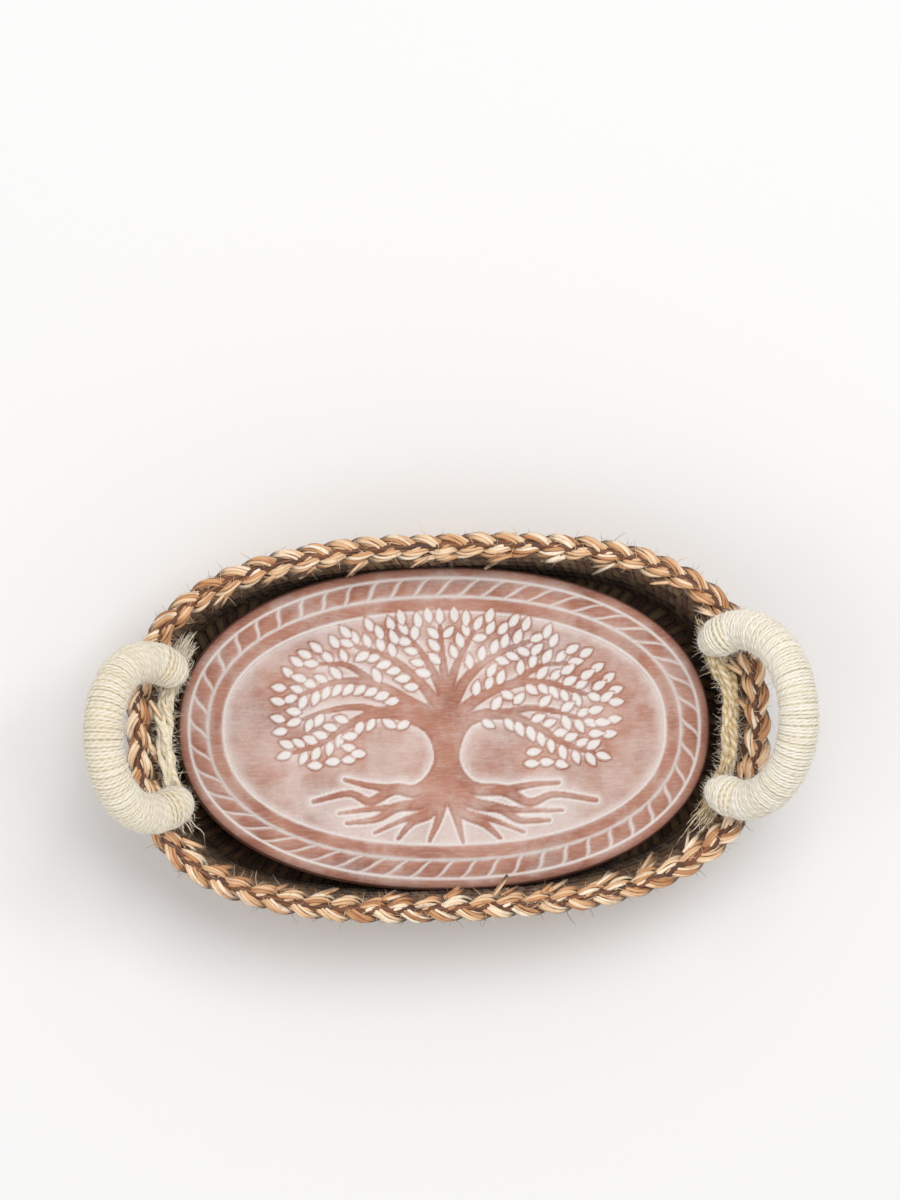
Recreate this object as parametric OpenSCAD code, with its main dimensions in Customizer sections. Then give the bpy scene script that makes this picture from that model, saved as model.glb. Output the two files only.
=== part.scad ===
// Oval bread warmer: a relief-pressed clay stone lying in a coiled grass
// basket with a plaited rim and two yarn-wrapped rope handles.
// Origin: centre of the underside. +X to the right handle, +Z up.

/* [Warming stone] */
// Length of the stone
stone_length = 272; // [250:1:330]
// Width of the stone
stone_width = 165; // [130:1:200]
// Thickness of the stone at its border
stone_thickness = 14; // [11:0.5:18]
// Fullness of the stone's outline: 2 is an ellipse, higher is squarer
stone_fullness = 2.2; // [2:0.1:3]
// Width of the raised border round the picture field
border_width = 24; // [16:0.5:30]
// Depth of the picture field below the border
field_depth = 1.5; // [0.5:0.1:3]
// Rounding of the stone's upper edge
top_round = 4; // [2:0.5:5]
// Rounding of the stone's lower edge
bottom_round = 2; // [1:0.5:3]
// Turn of the loose stone in its basket, degrees
stone_turn = -1.9; // [-2:0.1:2]

/* [Basket] */
// Thickness of one wall course
wall_thickness = 8; // [6:0.5:10]
// Height of one wall course
course_height = 11.6; // [9:0.2:14]
// How much wider each wall course is than the one below, per side
flare_step = 1.57; // [1.3:0.01:2.2]
// Wall course that the stone rests on
seat_course = 3; // [2, 3]
// Gap between the stone's long sides and the wall beside it
side_clearance = 0.8; // [0.6:0.1:1.2]
// Thickness of the floor
floor_thickness = 8; // [6:0.5:10]
// Width of the straight core that the floor coil starts on
floor_core_width = 11; // [8:0.5:14]
// Width of the plaited rim
braid_width = 13.5; // [12.5:0.1:17]
// Height of the plaited rim
braid_height = 12.5; // [10:0.5:15]
// How far the rim's middle line stands outside the top course's
braid_overhang = 1; // [0:0.1:2]

/* [Handles] */
// Thickness of the yarn-wrapped grip
grip_thickness = 20.6; // [17:0.2:25]
// Thickness of the rope core inside the grip
core_thickness = 12; // [8:0.1:15]
// Distance between the middle lines of the left grip's two legs
left_grip_span = 76; // [70:1:90]
// Distance between the middle lines of the right grip's two legs
right_grip_span = 86; // [70:1:105]
// Length of the left grip's straight legs, before its round bow
left_grip_leg = 7; // [1:0.5:15]
// Length of the right grip's straight legs, before its round bow
right_grip_leg = 2; // [1:0.5:15]
// Angle of the grips' planes above the horizontal
grip_angle = 54; // [40:1:60]
// Thickness of the rope ends and of the run tied inside the wall
tie_thickness = 11; // [9:0.1:14]
// Gap between the stone's end and the rope tied inside the wall
tie_clearance = 2.1; // [1.5:0.1:5]
// Gap between pieces that touch along rounded faces
touch_gap = 0.5; // [0.3:0.1:0.8]
// Gap between the yarn wrap and its rope core
wrap_gap = 0.2; // [0.1:0.05:0.3]

/* [Hidden] */
$fn = 96;
floor_courses = 6;
wall_courses = 6;
stone_hang = 0.3; // gap left where the stone beds into the grass
joint_slit = 0.3; // gap between neighbouring courses
GRASS = "burlywood";
GRASS_DARK = "peru";
CLAY = "rosybrown";
YARN = "cornsilk";
ROPE = "wheat";

// Wall: middle line of each course, measured across the basket
seat_half_width = stone_width / 2 + side_clearance + wall_thickness / 2;
function wall_half_width(course) =
    seat_half_width + (course - seat_course - 1) * flare_step;
braid_half_width = wall_half_width(wall_courses) + braid_overhang;
braid_inner = braid_half_width - braid_width / 2;

// Basket plan: two straight sides and two half-round ends
tie_radius = tie_thickness / 2;
end_centre = round(100 * (stone_length / 2 + tie_clearance + tie_thickness
    + touch_gap - braid_inner)) / 100;

// Floor: the coil's turns fill the space inside the lowest wall course
floor_pitch = (wall_half_width(1) - wall_thickness / 2
    - floor_core_width / 2) / floor_courses;

// Heights
wall_top_circle = wall_courses * course_height - wall_thickness / 2;
braid_z = wall_top_circle + sqrt(pow(wall_thickness / 2 + braid_height / 2 + joint_slit, 2)
    - pow(braid_overhang, 2));
braid_top = braid_z + braid_height / 2;
seat_reach = side_clearance + wall_thickness / 2 - flare_step + bottom_round;
stone_z = seat_course * course_height - wall_thickness / 2 - bottom_round
    + sqrt(pow(wall_thickness / 2 + bottom_round + stone_hang, 2) - pow(seat_reach, 2));

// Handles: the grips swing about lines that run across the basket
grip_radius = grip_thickness / 2;
axis_z = braid_top + grip_radius + touch_gap;
tie_ring = braid_inner - touch_gap - tie_radius;
tie_z = braid_z - tie_radius / 2;
function crossing_angle(span) = asin(span / 2 / braid_half_width);
function axis_x(span) = end_centre + braid_half_width * cos(crossing_angle(span));

// ---- Ovals ---------------------------------------------------------------

// Points round a superellipse with the given half length and half width
function outline(half_length, half_width, steps = 96) = [
    for (i = [0 : steps - 1])
        let (x = cos(360 * i / steps), y = sin(360 * i / steps))
            [half_length * sign(x) * pow(abs(x), 2 / stone_fullness),
             half_width * sign(y) * pow(abs(y), 2 / stone_fullness)]
];

// Sweeps the 2D children round the basket's plan; their x = 0 lies on the
// oval whose half width is given, and their y is height.
module basket_sweep(half_width) {
    for (side = [0, 180])
        rotate(side) {
            translate([end_centre, 0, 0])
                rotate(-90)
                    rotate_extrude(angle = 180, $fn = 180)
                        translate([half_width, 0]) children();
            translate([-end_centre, half_width, 0])
                rotate([90, 0, 90])
                    linear_extrude(2 * end_centre) children();
        }
}

// ---- Cross-sections -----------------------------------------------------

// Upright section with round ends, standing on y = 0
module upright_section(width, height) {
    for (y = [width / 2, height - width / 2])
        translate([0, y]) circle(d = width, $fn = 48);
    translate([-width / 2, width / 2]) square([width, height - width]);
}

// Lying section with round sides, standing on y = 0
module lying_section(width, height) {
    for (x = [-1, 1])
        translate([x * (width - height) / 2, height / 2]) circle(d = height, $fn = 48);
    translate([-(width - height) / 2, 0]) square([width - height, height]);
}

// ---- Stone --------------------------------------------------------------

// Height of the stone's rounded lower edge where it is drawn in by the inset
function lower_edge(inset) = inset >= bottom_round ? 0
    : bottom_round - sqrt(pow(bottom_round, 2) - pow(bottom_round - inset, 2));

// Height of its rounded upper edge there
function upper_edge(inset) = stone_thickness - top_round
    + sqrt(pow(top_round, 2) - pow(top_round - inset, 2));

// Pressed and fired clay oval with a raised border round its picture field
module warming_stone() {
    color(CLAY)
    translate([0, 0, stone_z])
        rotate(stone_turn)
            difference() {
                hull()
                    for (inset = [0, bottom_round / 4, bottom_round, top_round])
                        translate([0, 0, lower_edge(inset)])
                            linear_extrude(upper_edge(inset) - lower_edge(inset))
                                polygon(outline(stone_length / 2 - inset,
                                    stone_width / 2 - inset));
                translate([0, 0, stone_thickness - field_depth])
                    linear_extrude(field_depth + 1)
                        polygon(outline(stone_length / 2 - border_width,
                            stone_width / 2 - border_width));
            }
}

// ---- Basket -------------------------------------------------------------

// Straight bundle that the floor coil starts on
module floor_core() {
    width = floor_core_width - joint_slit;
    color(GRASS_DARK) {
        for (side = [-1, 1])
            translate([side * end_centre, 0, 0])
                cylinder(d = width, h = floor_thickness, $fn = 48);
        translate([-end_centre, -width / 2, 0])
            cube([2 * end_centre, width, floor_thickness]);
    }
}

// One turn of the floor coil, counted outwards
module floor_course(course) {
    color(GRASS)
        basket_sweep(floor_core_width / 2 + (course - 0.5) * floor_pitch)
            lying_section(floor_pitch - joint_slit, floor_thickness);
}

// One turn of the wall coil, counted upwards
module wall_course(course) {
    color(GRASS_DARK)
    translate([0, 0, (course - 1) * course_height])
        basket_sweep(wall_half_width(course))
            upright_section(wall_thickness, course_height);
}

// Thick plait that closes the wall
module rim_braid() {
    color(GRASS)
    translate([0, 0, braid_z - braid_height / 2])
        basket_sweep(braid_half_width)
            lying_section(braid_width, braid_height);
}

// ---- Handles ------------------------------------------------------------

// A rod along the grip's middle line, in the XY plane: two straight legs
// that start at x = 0 with round ends, joined by a half-round bow.
module grip_rod(span, leg, radius) {
    translate([leg, 0, 0])
        rotate(-90)
            rotate_extrude(angle = 180, $fn = 120)
                translate([span / 2, 0]) circle(r = radius, $fn = 48);
    for (side = [-1, 1])
        translate([0, side * span / 2, 0]) {
            rotate([0, 90, 0]) cylinder(r = radius, h = leg, $fn = 48);
            rotate([0, -90, 0])
                rotate_extrude($fn = 48)
                    intersection() {
                        circle(r = radius, $fn = 48);
                        square(radius);
                    }
        }
}

// Stands a grip piece on its swing axis; side is -1 for left, 1 for right
module place_grip(side, span) {
    rotate(side > 0 ? 0 : 180)
        translate([axis_x(span), 0, axis_z])
            rotate([0, -grip_angle, 0]) children();
}

// Twisted rope inside the yarn
module handle_core(side, span, leg) {
    color(ROPE)
    place_grip(side, span) grip_rod(span, leg, core_thickness / 2);
}

// Jute yarn wound closely round the rope
module handle_wrap(side, span, leg) {
    color(YARN)
    place_grip(side, span)
        difference() {
            grip_rod(span, leg, grip_radius);
            grip_rod(span, leg, core_thickness / 2 + wrap_gap);
        }
}

// Rope end that bends over the rim and down inside the wall; its top is
// cupped round the grip's end. way is -1 for the front, 1 for the back.
module handle_end(side, span, way) {
    bend = braid_half_width - tie_ring;
    bend_z = axis_z - bend;
    color(ROPE)
    rotate(side > 0 ? 0 : 180)
        difference() {
            translate([end_centre, 0, 0])
                rotate(side * way * crossing_angle(span)) {
                    translate([braid_half_width, 0, bend_z])
                        rotate([90, 0, 0])
                            rotate(90)
                                rotate_extrude(angle = 90, $fn = 180)
                                    translate([bend, 0]) circle(r = tie_radius, $fn = 48);
                    translate([tie_ring, 0, tie_z])
                        cylinder(r = tie_radius, h = bend_z - tie_z, $fn = 48);
                }
            translate([axis_x(span), side * way * span / 2, axis_z])
                sphere(r = grip_radius + touch_gap, $fn = 96);
        }
}

// Run of the same rope, tied along the wall from one end to the other
module handle_tie(side, span) {
    reach = crossing_angle(span) - asin((tie_radius + touch_gap) / tie_ring);
    color(ROPE)
    rotate(side > 0 ? 0 : 180)
        translate([end_centre, 0, tie_z])
            rotate(-reach)
                rotate_extrude(angle = 2 * reach, $fn = 180)
                    translate([tie_ring, 0]) circle(r = tie_radius, $fn = 48);
}

// ---- Nodes --------------------------------------------------------------

warming_stone();
floor_core();
for (course = [1 : floor_courses])
    floor_course(course);
for (course = [1 : wall_courses])
    wall_course(course);
rim_braid();
handle_core(-1, left_grip_span, left_grip_leg);  // handle_left_core
handle_wrap(-1, left_grip_span, left_grip_leg);  // handle_left_wrap
handle_end(-1, left_grip_span, -1);  // handle_left_end_front
handle_end(-1, left_grip_span, 1);  // handle_left_end_back
handle_tie(-1, left_grip_span);  // handle_left_tie
handle_core(1, right_grip_span, right_grip_leg);  // handle_right_core
handle_wrap(1, right_grip_span, right_grip_leg);  // handle_right_wrap
handle_end(1, right_grip_span, -1);  // handle_right_end_front
handle_end(1, right_grip_span, 1);  // handle_right_end_back
handle_tie(1, right_grip_span);  // handle_right_tie
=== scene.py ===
"""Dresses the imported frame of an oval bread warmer.

A relief-pressed terracotta stone lies in a coiled grass basket. The basket has
a plaited rim and two rope handles wound with jute yarn. Each class below builds
one sub-assembly, in metres, around the plain solids of the frame.
"""

from __future__ import annotations

import logging
import math
from dataclasses import dataclass, field, replace
from enum import Enum
from typing import Any, Sequence

import bpy
import numpy as np
from mathutils import Matrix, Vector

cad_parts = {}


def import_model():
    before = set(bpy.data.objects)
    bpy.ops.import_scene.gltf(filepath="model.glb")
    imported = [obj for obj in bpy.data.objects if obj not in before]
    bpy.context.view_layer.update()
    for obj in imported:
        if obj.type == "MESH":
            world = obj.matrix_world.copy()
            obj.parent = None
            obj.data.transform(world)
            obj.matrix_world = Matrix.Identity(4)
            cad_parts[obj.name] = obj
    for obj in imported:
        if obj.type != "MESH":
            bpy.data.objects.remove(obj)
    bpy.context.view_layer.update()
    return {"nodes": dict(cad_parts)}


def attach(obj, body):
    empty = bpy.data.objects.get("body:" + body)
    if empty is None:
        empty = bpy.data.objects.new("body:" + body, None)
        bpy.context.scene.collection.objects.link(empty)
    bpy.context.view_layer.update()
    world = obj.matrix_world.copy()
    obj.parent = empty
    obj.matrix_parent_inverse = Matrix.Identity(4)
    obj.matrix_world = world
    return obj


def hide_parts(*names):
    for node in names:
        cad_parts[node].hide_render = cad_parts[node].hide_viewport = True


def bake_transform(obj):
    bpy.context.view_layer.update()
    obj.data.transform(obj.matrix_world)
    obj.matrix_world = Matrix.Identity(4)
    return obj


MM = 0.001
TAU = 2 * math.pi
UP = np.array([0.0, 0.0, 1.0])
Array = np.ndarray
Socket = bpy.types.NodeSocket
LOG = logging.getLogger("bread_warmer")


# ---- Small tools ------------------------------------------------------------


def linear(hex_colour: str) -> tuple[float, ...]:
    """Turns an sRGB hex colour into linear light with an alpha of one.

    Args:
        hex_colour: The colour, as # and six digits.

    Returns:
        Red, green, blue and alpha.
    """
    channels = [int(hex_colour[i : i + 2], 16) / 255 for i in (1, 3, 5)]
    light = [c / 12.92 if c <= 0.04045 else ((c + 0.055) / 1.055) ** 2.4 for c in channels]
    return (*light, 1.0)


def add_node(
    tree: bpy.types.NodeTree,
    kind: str,
    settings: dict[str, Any] | None = None,
    inputs: dict[str | int, Any] | None = None,
) -> bpy.types.Node:
    """Adds a node with its settings, and links or fills its inputs.

    Args:
        tree: The node tree that gets the node.
        kind: Blender's name for the node type.
        settings: Properties of the node.
        inputs: A value or an output socket for each input named or numbered.

    Returns:
        The new node.
    """
    node = tree.nodes.new(kind)
    for name, value in (settings or {}).items():
        setattr(node, name, value)
    for key, value in (inputs or {}).items():
        if isinstance(value, Socket):
            tree.links.new(value, node.inputs[key])
        else:
            node.inputs[key].default_value = value
    return node


def smoothstep(low: float, high: float, value: Array) -> Array:
    """Rises smoothly from 0 at low to 1 at high."""
    t = np.clip((value - low) / (high - low), 0, 1)
    return t * t * (3 - 2 * t)


def ridge(distance: Array, half_width: float) -> Array:
    """A smooth bump that is 1 on a line and 0 at half_width away from it."""
    return 1 - smoothstep(0, half_width, np.abs(distance))


def unit(vectors: Array) -> Array:
    """Scales each row vector to length one."""
    return vectors / np.maximum(np.linalg.norm(vectors, axis=-1, keepdims=True), 1e-12)


def distances(line: Array) -> Array:
    """Distance of each point of a line from its first, along the line."""
    return np.concatenate([[0], np.cumsum(np.linalg.norm(np.diff(line, axis=0), axis=1))])


def rows_at(wanted: Array | float, run: Array, rows: Array) -> Array:
    """Interpolates each column of rows, which stand at the distances in run."""
    return np.stack([np.interp(wanted, run, column) for column in rows.T], -1)


def even_steps(points: Array, count: int, closed: bool = True) -> Array:
    """Spaces the points of a loop, or of an open line, evenly.

    Args:
        points: Points of the line, one row each.
        count: How many points to return.
        closed: Whether the last point joins the first.

    Returns:
        Points at equal steps.
    """
    line = np.vstack([points, points[:1]]) if closed else points
    run = distances(line)
    return rows_at(np.linspace(0, run[-1], count, endpoint=not closed), run, line)


@dataclass
class Shell:
    """Vertices and faces of one piece while it is being gathered."""

    points: list[Array] = field(default_factory=list)
    quads: list[Array] = field(default_factory=list)
    triangles: list[Array] = field(default_factory=list)
    uvs: list[Array] = field(default_factory=list)
    tones: list[Array] = field(default_factory=list)
    count: int = 0

    def add(self, points: Array, quads: Array, uv: Array, tone: Array | float) -> int:
        """Adds vertices and quads.

        Args:
            points: Vertex places, one row each.
            quads: Four vertex numbers a row, counted from this batch's first.
            uv: Pattern coordinates of each vertex, in metres.
            tone: Random shade of each vertex, or one for all.

        Returns:
            The number of the batch's first vertex.
        """
        first = self.count
        self.points.append(points.reshape(-1, 3))
        self.quads.append(np.asarray(quads, int).reshape(-1, 4) + first)
        self.uvs.append(uv.reshape(-1, 2))
        self.tones.append(np.broadcast_to(np.asarray(tone, float), (len(self.points[-1]),)))
        self.count += len(self.points[-1])
        return first

    def fan(self, ring: Array, centre: Array, uv: Array, tone: float, flip: bool = False) -> None:
        """Closes a ring of vertex numbers with triangles, turned over if flip is set.

        Args:
            ring: Vertex numbers round the opening.
            centre: Place of the vertex in its middle.
            uv: That vertex's pattern coordinates.
            tone: That vertex's random shade.
            flip: Whether the triangles face the other way.
        """
        middle = self.add(centre, np.zeros((0, 4)), uv, tone)
        pair = (np.roll(ring, -1), ring) if flip else (ring, np.roll(ring, -1))
        self.triangles.append(np.stack([*pair, np.full(len(ring), middle)], -1))

    def build(self, name: str, **extra: Array) -> bpy.types.Object:
        """Makes the Blender object.

        Args:
            name: The object's name.
            extra: More values for each vertex, by attribute name.

        Returns:
            A smooth-shaded object at the origin.
        """
        points = np.concatenate(self.points)
        quads = np.concatenate(self.quads)
        tris = np.concatenate(self.triangles) if self.triangles else np.zeros((0, 3), int)
        corners = np.concatenate([quads.ravel(), tris.ravel()])
        starts = [np.arange(len(quads)) * 4, quads.size + np.arange(len(tris)) * 3]
        mesh = bpy.data.meshes.new(name)
        mesh.vertices.add(len(points))
        mesh.vertices.foreach_set("co", points.astype(np.float32).ravel())
        mesh.loops.add(len(corners))
        mesh.loops.foreach_set("vertex_index", corners.astype(np.int32))
        mesh.polygons.add(len(quads) + len(tris))
        mesh.polygons.foreach_set("loop_start", np.concatenate(starts).astype(np.int32))
        mesh.update(calc_edges=True)
        layer = mesh.uv_layers.new(name="fibre")
        layer.data.foreach_set("uv", np.concatenate(self.uvs)[corners].astype(np.float32).ravel())
        for key, value in {"tone": np.concatenate(self.tones), **extra}.items():
            layer = mesh.attributes.new(key, "FLOAT", "POINT")
            layer.data.foreach_set("value", value.astype(np.float32))
        mesh.shade_smooth()
        mesh.validate()
        return show(name, mesh)


def show(name: str, data: Any) -> bpy.types.Object:
    """Puts a mesh, lamp or camera into the scene under a name."""
    thing = bpy.data.objects.new(name, data)
    bpy.context.scene.collection.objects.link(thing)
    return thing


def frames_along(path: Array, up: Array, closed: bool) -> tuple[Array, Array]:
    """Side and up at each point of a path, up kept near a given direction.

    Args:
        path: Points of the path, one row each.
        up: One direction, or one for each point.
        closed: Whether the last point joins the first.

    Returns:
        Side and up at each point; side x up = tangent.
    """
    ahead = np.roll(path, -1, 0) - np.roll(path, 1, 0) if closed else np.gradient(path, axis=0)
    tangent = unit(ahead)
    side = unit(np.cross(np.broadcast_to(up, path.shape), tangent))
    return side, np.cross(tangent, side)


def steady_frames(line: Array) -> tuple[Array, Array]:
    """Side and up along an open line, carried from its start without twisting.

    Args:
        line: Points of the line, one row each.

    Returns:
        Side and up at each point; side x up = tangent.
    """
    tangent = unit(np.gradient(line, axis=0))
    side = np.zeros_like(line)
    side[0] = unit(np.cross(UP, tangent[0]))
    for i in range(1, len(line)):
        side[i] = unit(side[i - 1] - (side[i - 1] @ tangent[i]) * tangent[i])
    return side, np.cross(tangent, side)


def sweep(
    shell: Shell,
    path: Array,
    side: Array,
    up: Array,
    section: Array,
    tone: Array | float,
    closed: bool = False,
) -> None:
    """Sweeps a closed section along a path and adds the skin to a shell.

    Args:
        shell: The shell that gets the skin.
        path: Points of the path.
        side: First axis of the section at each point.
        up: Second axis of the section at each point.
        section: Places in (side, up), for all points or for each, in metres.
        tone: Random shade of the strand, or of each of its vertices.
        closed: Whether the path is a loop. An open path gets pointed caps.
    """
    rings = len(path)
    section = np.broadcast_to(section, (rings,) + section.shape[-2:])
    size = section.shape[1]
    points = path[:, None] + section[..., :1] * side[:, None] + section[..., 1:] * up[:, None]
    run = distances(path)
    girth = np.linalg.norm(np.roll(section[rings // 2], -1, 0) - section[rings // 2], axis=1)
    around = np.concatenate([[0], np.cumsum(girth)[:-1]])
    around = np.minimum(around, girth.sum() - around)  # folded, so that no seam shows
    uv = np.stack(np.broadcast_arrays(around[None, :], run[:, None]), -1)
    ring = np.arange(rings if closed else rings - 1)[:, None] * size
    column = np.arange(size)[None, :]
    after = (ring + size) % (rings * size)
    beside = (column + 1) % size
    quads = np.stack([ring + column, ring + beside, after + beside, after + column], -1)
    edge_tone = tone if np.ndim(tone) == 0 else 0.0
    first = shell.add(points, quads, uv, tone)
    if closed:
        return
    for end in (0, rings - 1):
        rim = first + end * size + np.arange(size)
        shell.fan(rim, path[end], np.array([0.0, run[end]]), edge_tone, flip=end == 0)


def round_section(half_width: float, half_height: float, corners: int) -> Array:
    """Points round an ellipse, from +side towards +up."""
    turn = np.arange(corners) * TAU / corners
    return np.stack([half_width * np.cos(turn), half_height * np.sin(turn)], -1)


def superellipse(half_length: float, half_width: float, fullness: float) -> Array:
    """Dense points round a superellipse, anticlockwise from +X."""
    flat = round_section(1.0, 1.0, 2880)
    return np.sign(flat) * np.abs(flat) ** (2 / fullness) * [half_length, half_width]


def spline(knots: Any, steps: int) -> Array:
    """Runs a Catmull-Rom curve through given knots.

    Args:
        knots: Places that the curve passes through, one row each.
        steps: How many points to return.

    Returns:
        Points of the curve.
    """
    knots = np.asarray(knots, float)
    ends = np.vstack([2 * knots[0] - knots[1], knots, 2 * knots[-1] - knots[-2]])
    place = np.linspace(0, len(knots) - 1 - 1e-9, steps)
    piece = place.astype(int)
    t = (place - piece)[:, None]
    a, b, c, d = (ends[piece + k] for k in range(4))
    return 0.5 * (
        2 * b + (c - a) * t + (2 * a - 5 * b + 4 * c - d) * t**2 + (3 * b - a - 3 * c + d) * t**3
    )


# ---- Finishes ---------------------------------------------------------------


def noise(tree: Any, place: Socket, size_mm: float, detail: float, rough: float = 0.5) -> Socket:
    """Noise whose largest features are about size_mm across."""
    inputs = {"Vector": place, "Scale": 1000 / size_mm, "Detail": detail, "Roughness": rough}
    return add_node(tree, "ShaderNodeTexNoise", inputs=inputs).outputs["Fac"]


def spread(
    tree: Any, value: Socket, low: float, high: float, to_low: float = 0.0, to_high: float = 1.0
) -> Socket:
    """Maps low to to_low and high to to_high, and holds beyond them.

    Args:
        tree: The material's node tree.
        value: The value to map.
        low: Value at the start.
        high: Value at the end.
        to_low: Result at low.
        to_high: Result at high.

    Returns:
        The mapped value.
    """
    keys = ("Value", "From Min", "From Max", "To Min", "To Max")
    inputs = dict(zip(keys, (value, low, high, to_low, to_high)))
    return add_node(tree, "ShaderNodeMapRange", inputs=inputs).outputs["Result"]


def compute(tree: Any, operation: str, *values: Socket | float, clamp: bool = False) -> Socket:
    """One step of arithmetic, kept between 0 and 1 if clamped."""
    settings = {"operation": operation, "use_clamp": clamp}
    return add_node(tree, "ShaderNodeMath", settings, dict(enumerate(values))).outputs[0]


def mixed(tree: Any, share: Socket, first: Socket, second: str) -> Socket:
    """Mixes a colour with a hex colour."""
    inputs = {"Factor": share, "A": first, "B": linear(second)}
    return add_node(tree, "ShaderNodeMix", {"data_type": "RGBA"}, inputs).outputs["Result"]


def ramp(tree: Any, share: Socket, stops: Sequence[tuple[float, str]]) -> Socket:
    """Runs through hex colours at rising places.

    Args:
        tree: The material's node tree.
        share: The place to read, from 0 to 1.
        stops: Place and hex colour of each stop, in rising order.

    Returns:
        The colour at the place.
    """
    node = add_node(tree, "ShaderNodeValToRGB", inputs={"Fac": share})
    elements = node.color_ramp.elements
    elements[0].position, elements[1].position = stops[0][0], stops[-1][0]
    for place, _ in stops[1:-1]:
        elements.new(place)
    for element, (_, colour) in zip(elements, stops):
        element.color = linear(colour)
    return node.outputs["Color"]


def even_ramp(tree: Any, share: Socket, shades: Sequence[str]) -> Socket:
    """Runs through hex colours at equal steps."""
    return ramp(tree, share, [(i / (len(shades) - 1), shade) for i, shade in enumerate(shades)])


def carried(tree: Any, name: str) -> Socket:
    """The value that each vertex carries under a name."""
    return add_node(tree, "ShaderNodeAttribute", {"attribute_name": name}).outputs["Fac"]


def object_place(tree: Any) -> Socket:
    """The place in the piece's own frame, in metres."""
    return add_node(tree, "ShaderNodeTexCoord").outputs["Object"]


def fibre_place(tree: Any) -> Socket:
    """The place round and along a strand, in metres."""
    return add_node(tree, "ShaderNodeUVMap", {"uv_map": "fibre"}).outputs["UV"]


def mapped(tree: Any, place: Socket, scale: tuple[float, ...], turn: float = 0.0) -> Socket:
    """Stretches a place, and turns it about Z."""
    inputs = {"Vector": place, "Rotation": (0, 0, turn), "Scale": scale}
    return add_node(tree, "ShaderNodeMapping", inputs=inputs).outputs["Vector"]


def new_material(name: str) -> tuple[bpy.types.Material, bpy.types.NodeTree]:
    """Starts a node material, and returns it with its tree."""
    made = bpy.data.materials.new(name)
    made.use_nodes = True
    return made, made.node_tree


def feed_shader(
    tree: Any, colour: Socket, height: Socket, bump: tuple[float, float], **uniform: float
) -> None:
    """Feeds a tree's Principled shader.

    Args:
        tree: The material's node tree.
        colour: The base colour.
        height: The pattern that stands out as bumps.
        bump: The bumps' strength, and their depth in millimetres.
        uniform: Values of other inputs, with _ for a space in the input's name.
    """
    shader = tree.nodes["Principled BSDF"]
    strength, depth = bump
    inputs = {"Strength": strength, "Distance": depth * MM, "Height": height}
    normal = add_node(tree, "ShaderNodeBump", inputs=inputs).outputs["Normal"]
    tree.links.new(colour, shader.inputs["Base Color"])
    tree.links.new(normal, shader.inputs["Normal"])
    for name, value in uniform.items():
        shader.inputs[name.replace("_", " ")].default_value = value


@dataclass(frozen=True)
class FiredClay:
    """Unglazed terracotta, pressed in a mould, with a pale wash rubbed into its relief.

    It gives the eye a chalky, pinkish red with cloudy firing marks, faint brush
    drags and a gritty surface, and a milky white on the leaves and lines that
    breaks up into patches where it is thin.
    """

    body: str = "#B17B66"
    pale: str = "#C0917F"
    deep: str = "#9A6350"
    wash: str = "#ECE8E3"
    cloud_mm: float = 26.0
    patch_mm: float = 17.0
    drag_mm: float = 1.1
    drag_share: float = 0.15
    grit_mm: float = 0.55  # real grit is nearer 0.2 mm, drawn coarser so that it shows
    roughness: float = 0.82

    def material(self) -> bpy.types.Material:
        """Builds the finish."""
        made, tree = new_material("fired_terracotta_with_wash")
        place = object_place(tree)
        clouds = noise(tree, place, self.cloud_mm, 5.0)
        tint = ramp(tree, clouds, [(0.30, self.deep), (0.48, self.body), (0.68, self.pale)])
        along = mapped(tree, place, (0.16, 1.0, 1.0), 0.35)
        drags = spread(tree, noise(tree, along, self.drag_mm, 3.0), 0.46, 0.72, 0, self.drag_share)
        streaked = mixed(tree, drags, tint, self.wash)
        wash = carried(tree, "wash")
        patches = noise(tree, place, self.patch_mm, 6.0, 0.62)
        thin = spread(tree, patches, 0.36, 0.6, -0.28, 0.1)
        held = compute(tree, "MULTIPLY", thin, compute(tree, "SUBTRACT", 1.05, wash))
        patchy = compute(tree, "ADD", wash, held, clamp=True)
        grit = noise(tree, place, self.grit_mm, 2.0)
        worn = spread(tree, grit, 0.25, 0.6, 0.72)
        cover = compute(tree, "MULTIPLY", patchy, worn, clamp=True)
        colour = mixed(tree, cover, streaked, self.wash)
        feed_shader(
            tree, colour, grit, (0.25, 0.25), Roughness=self.roughness, Specular_IOR_Level=0.3
        )
        return made


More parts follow.
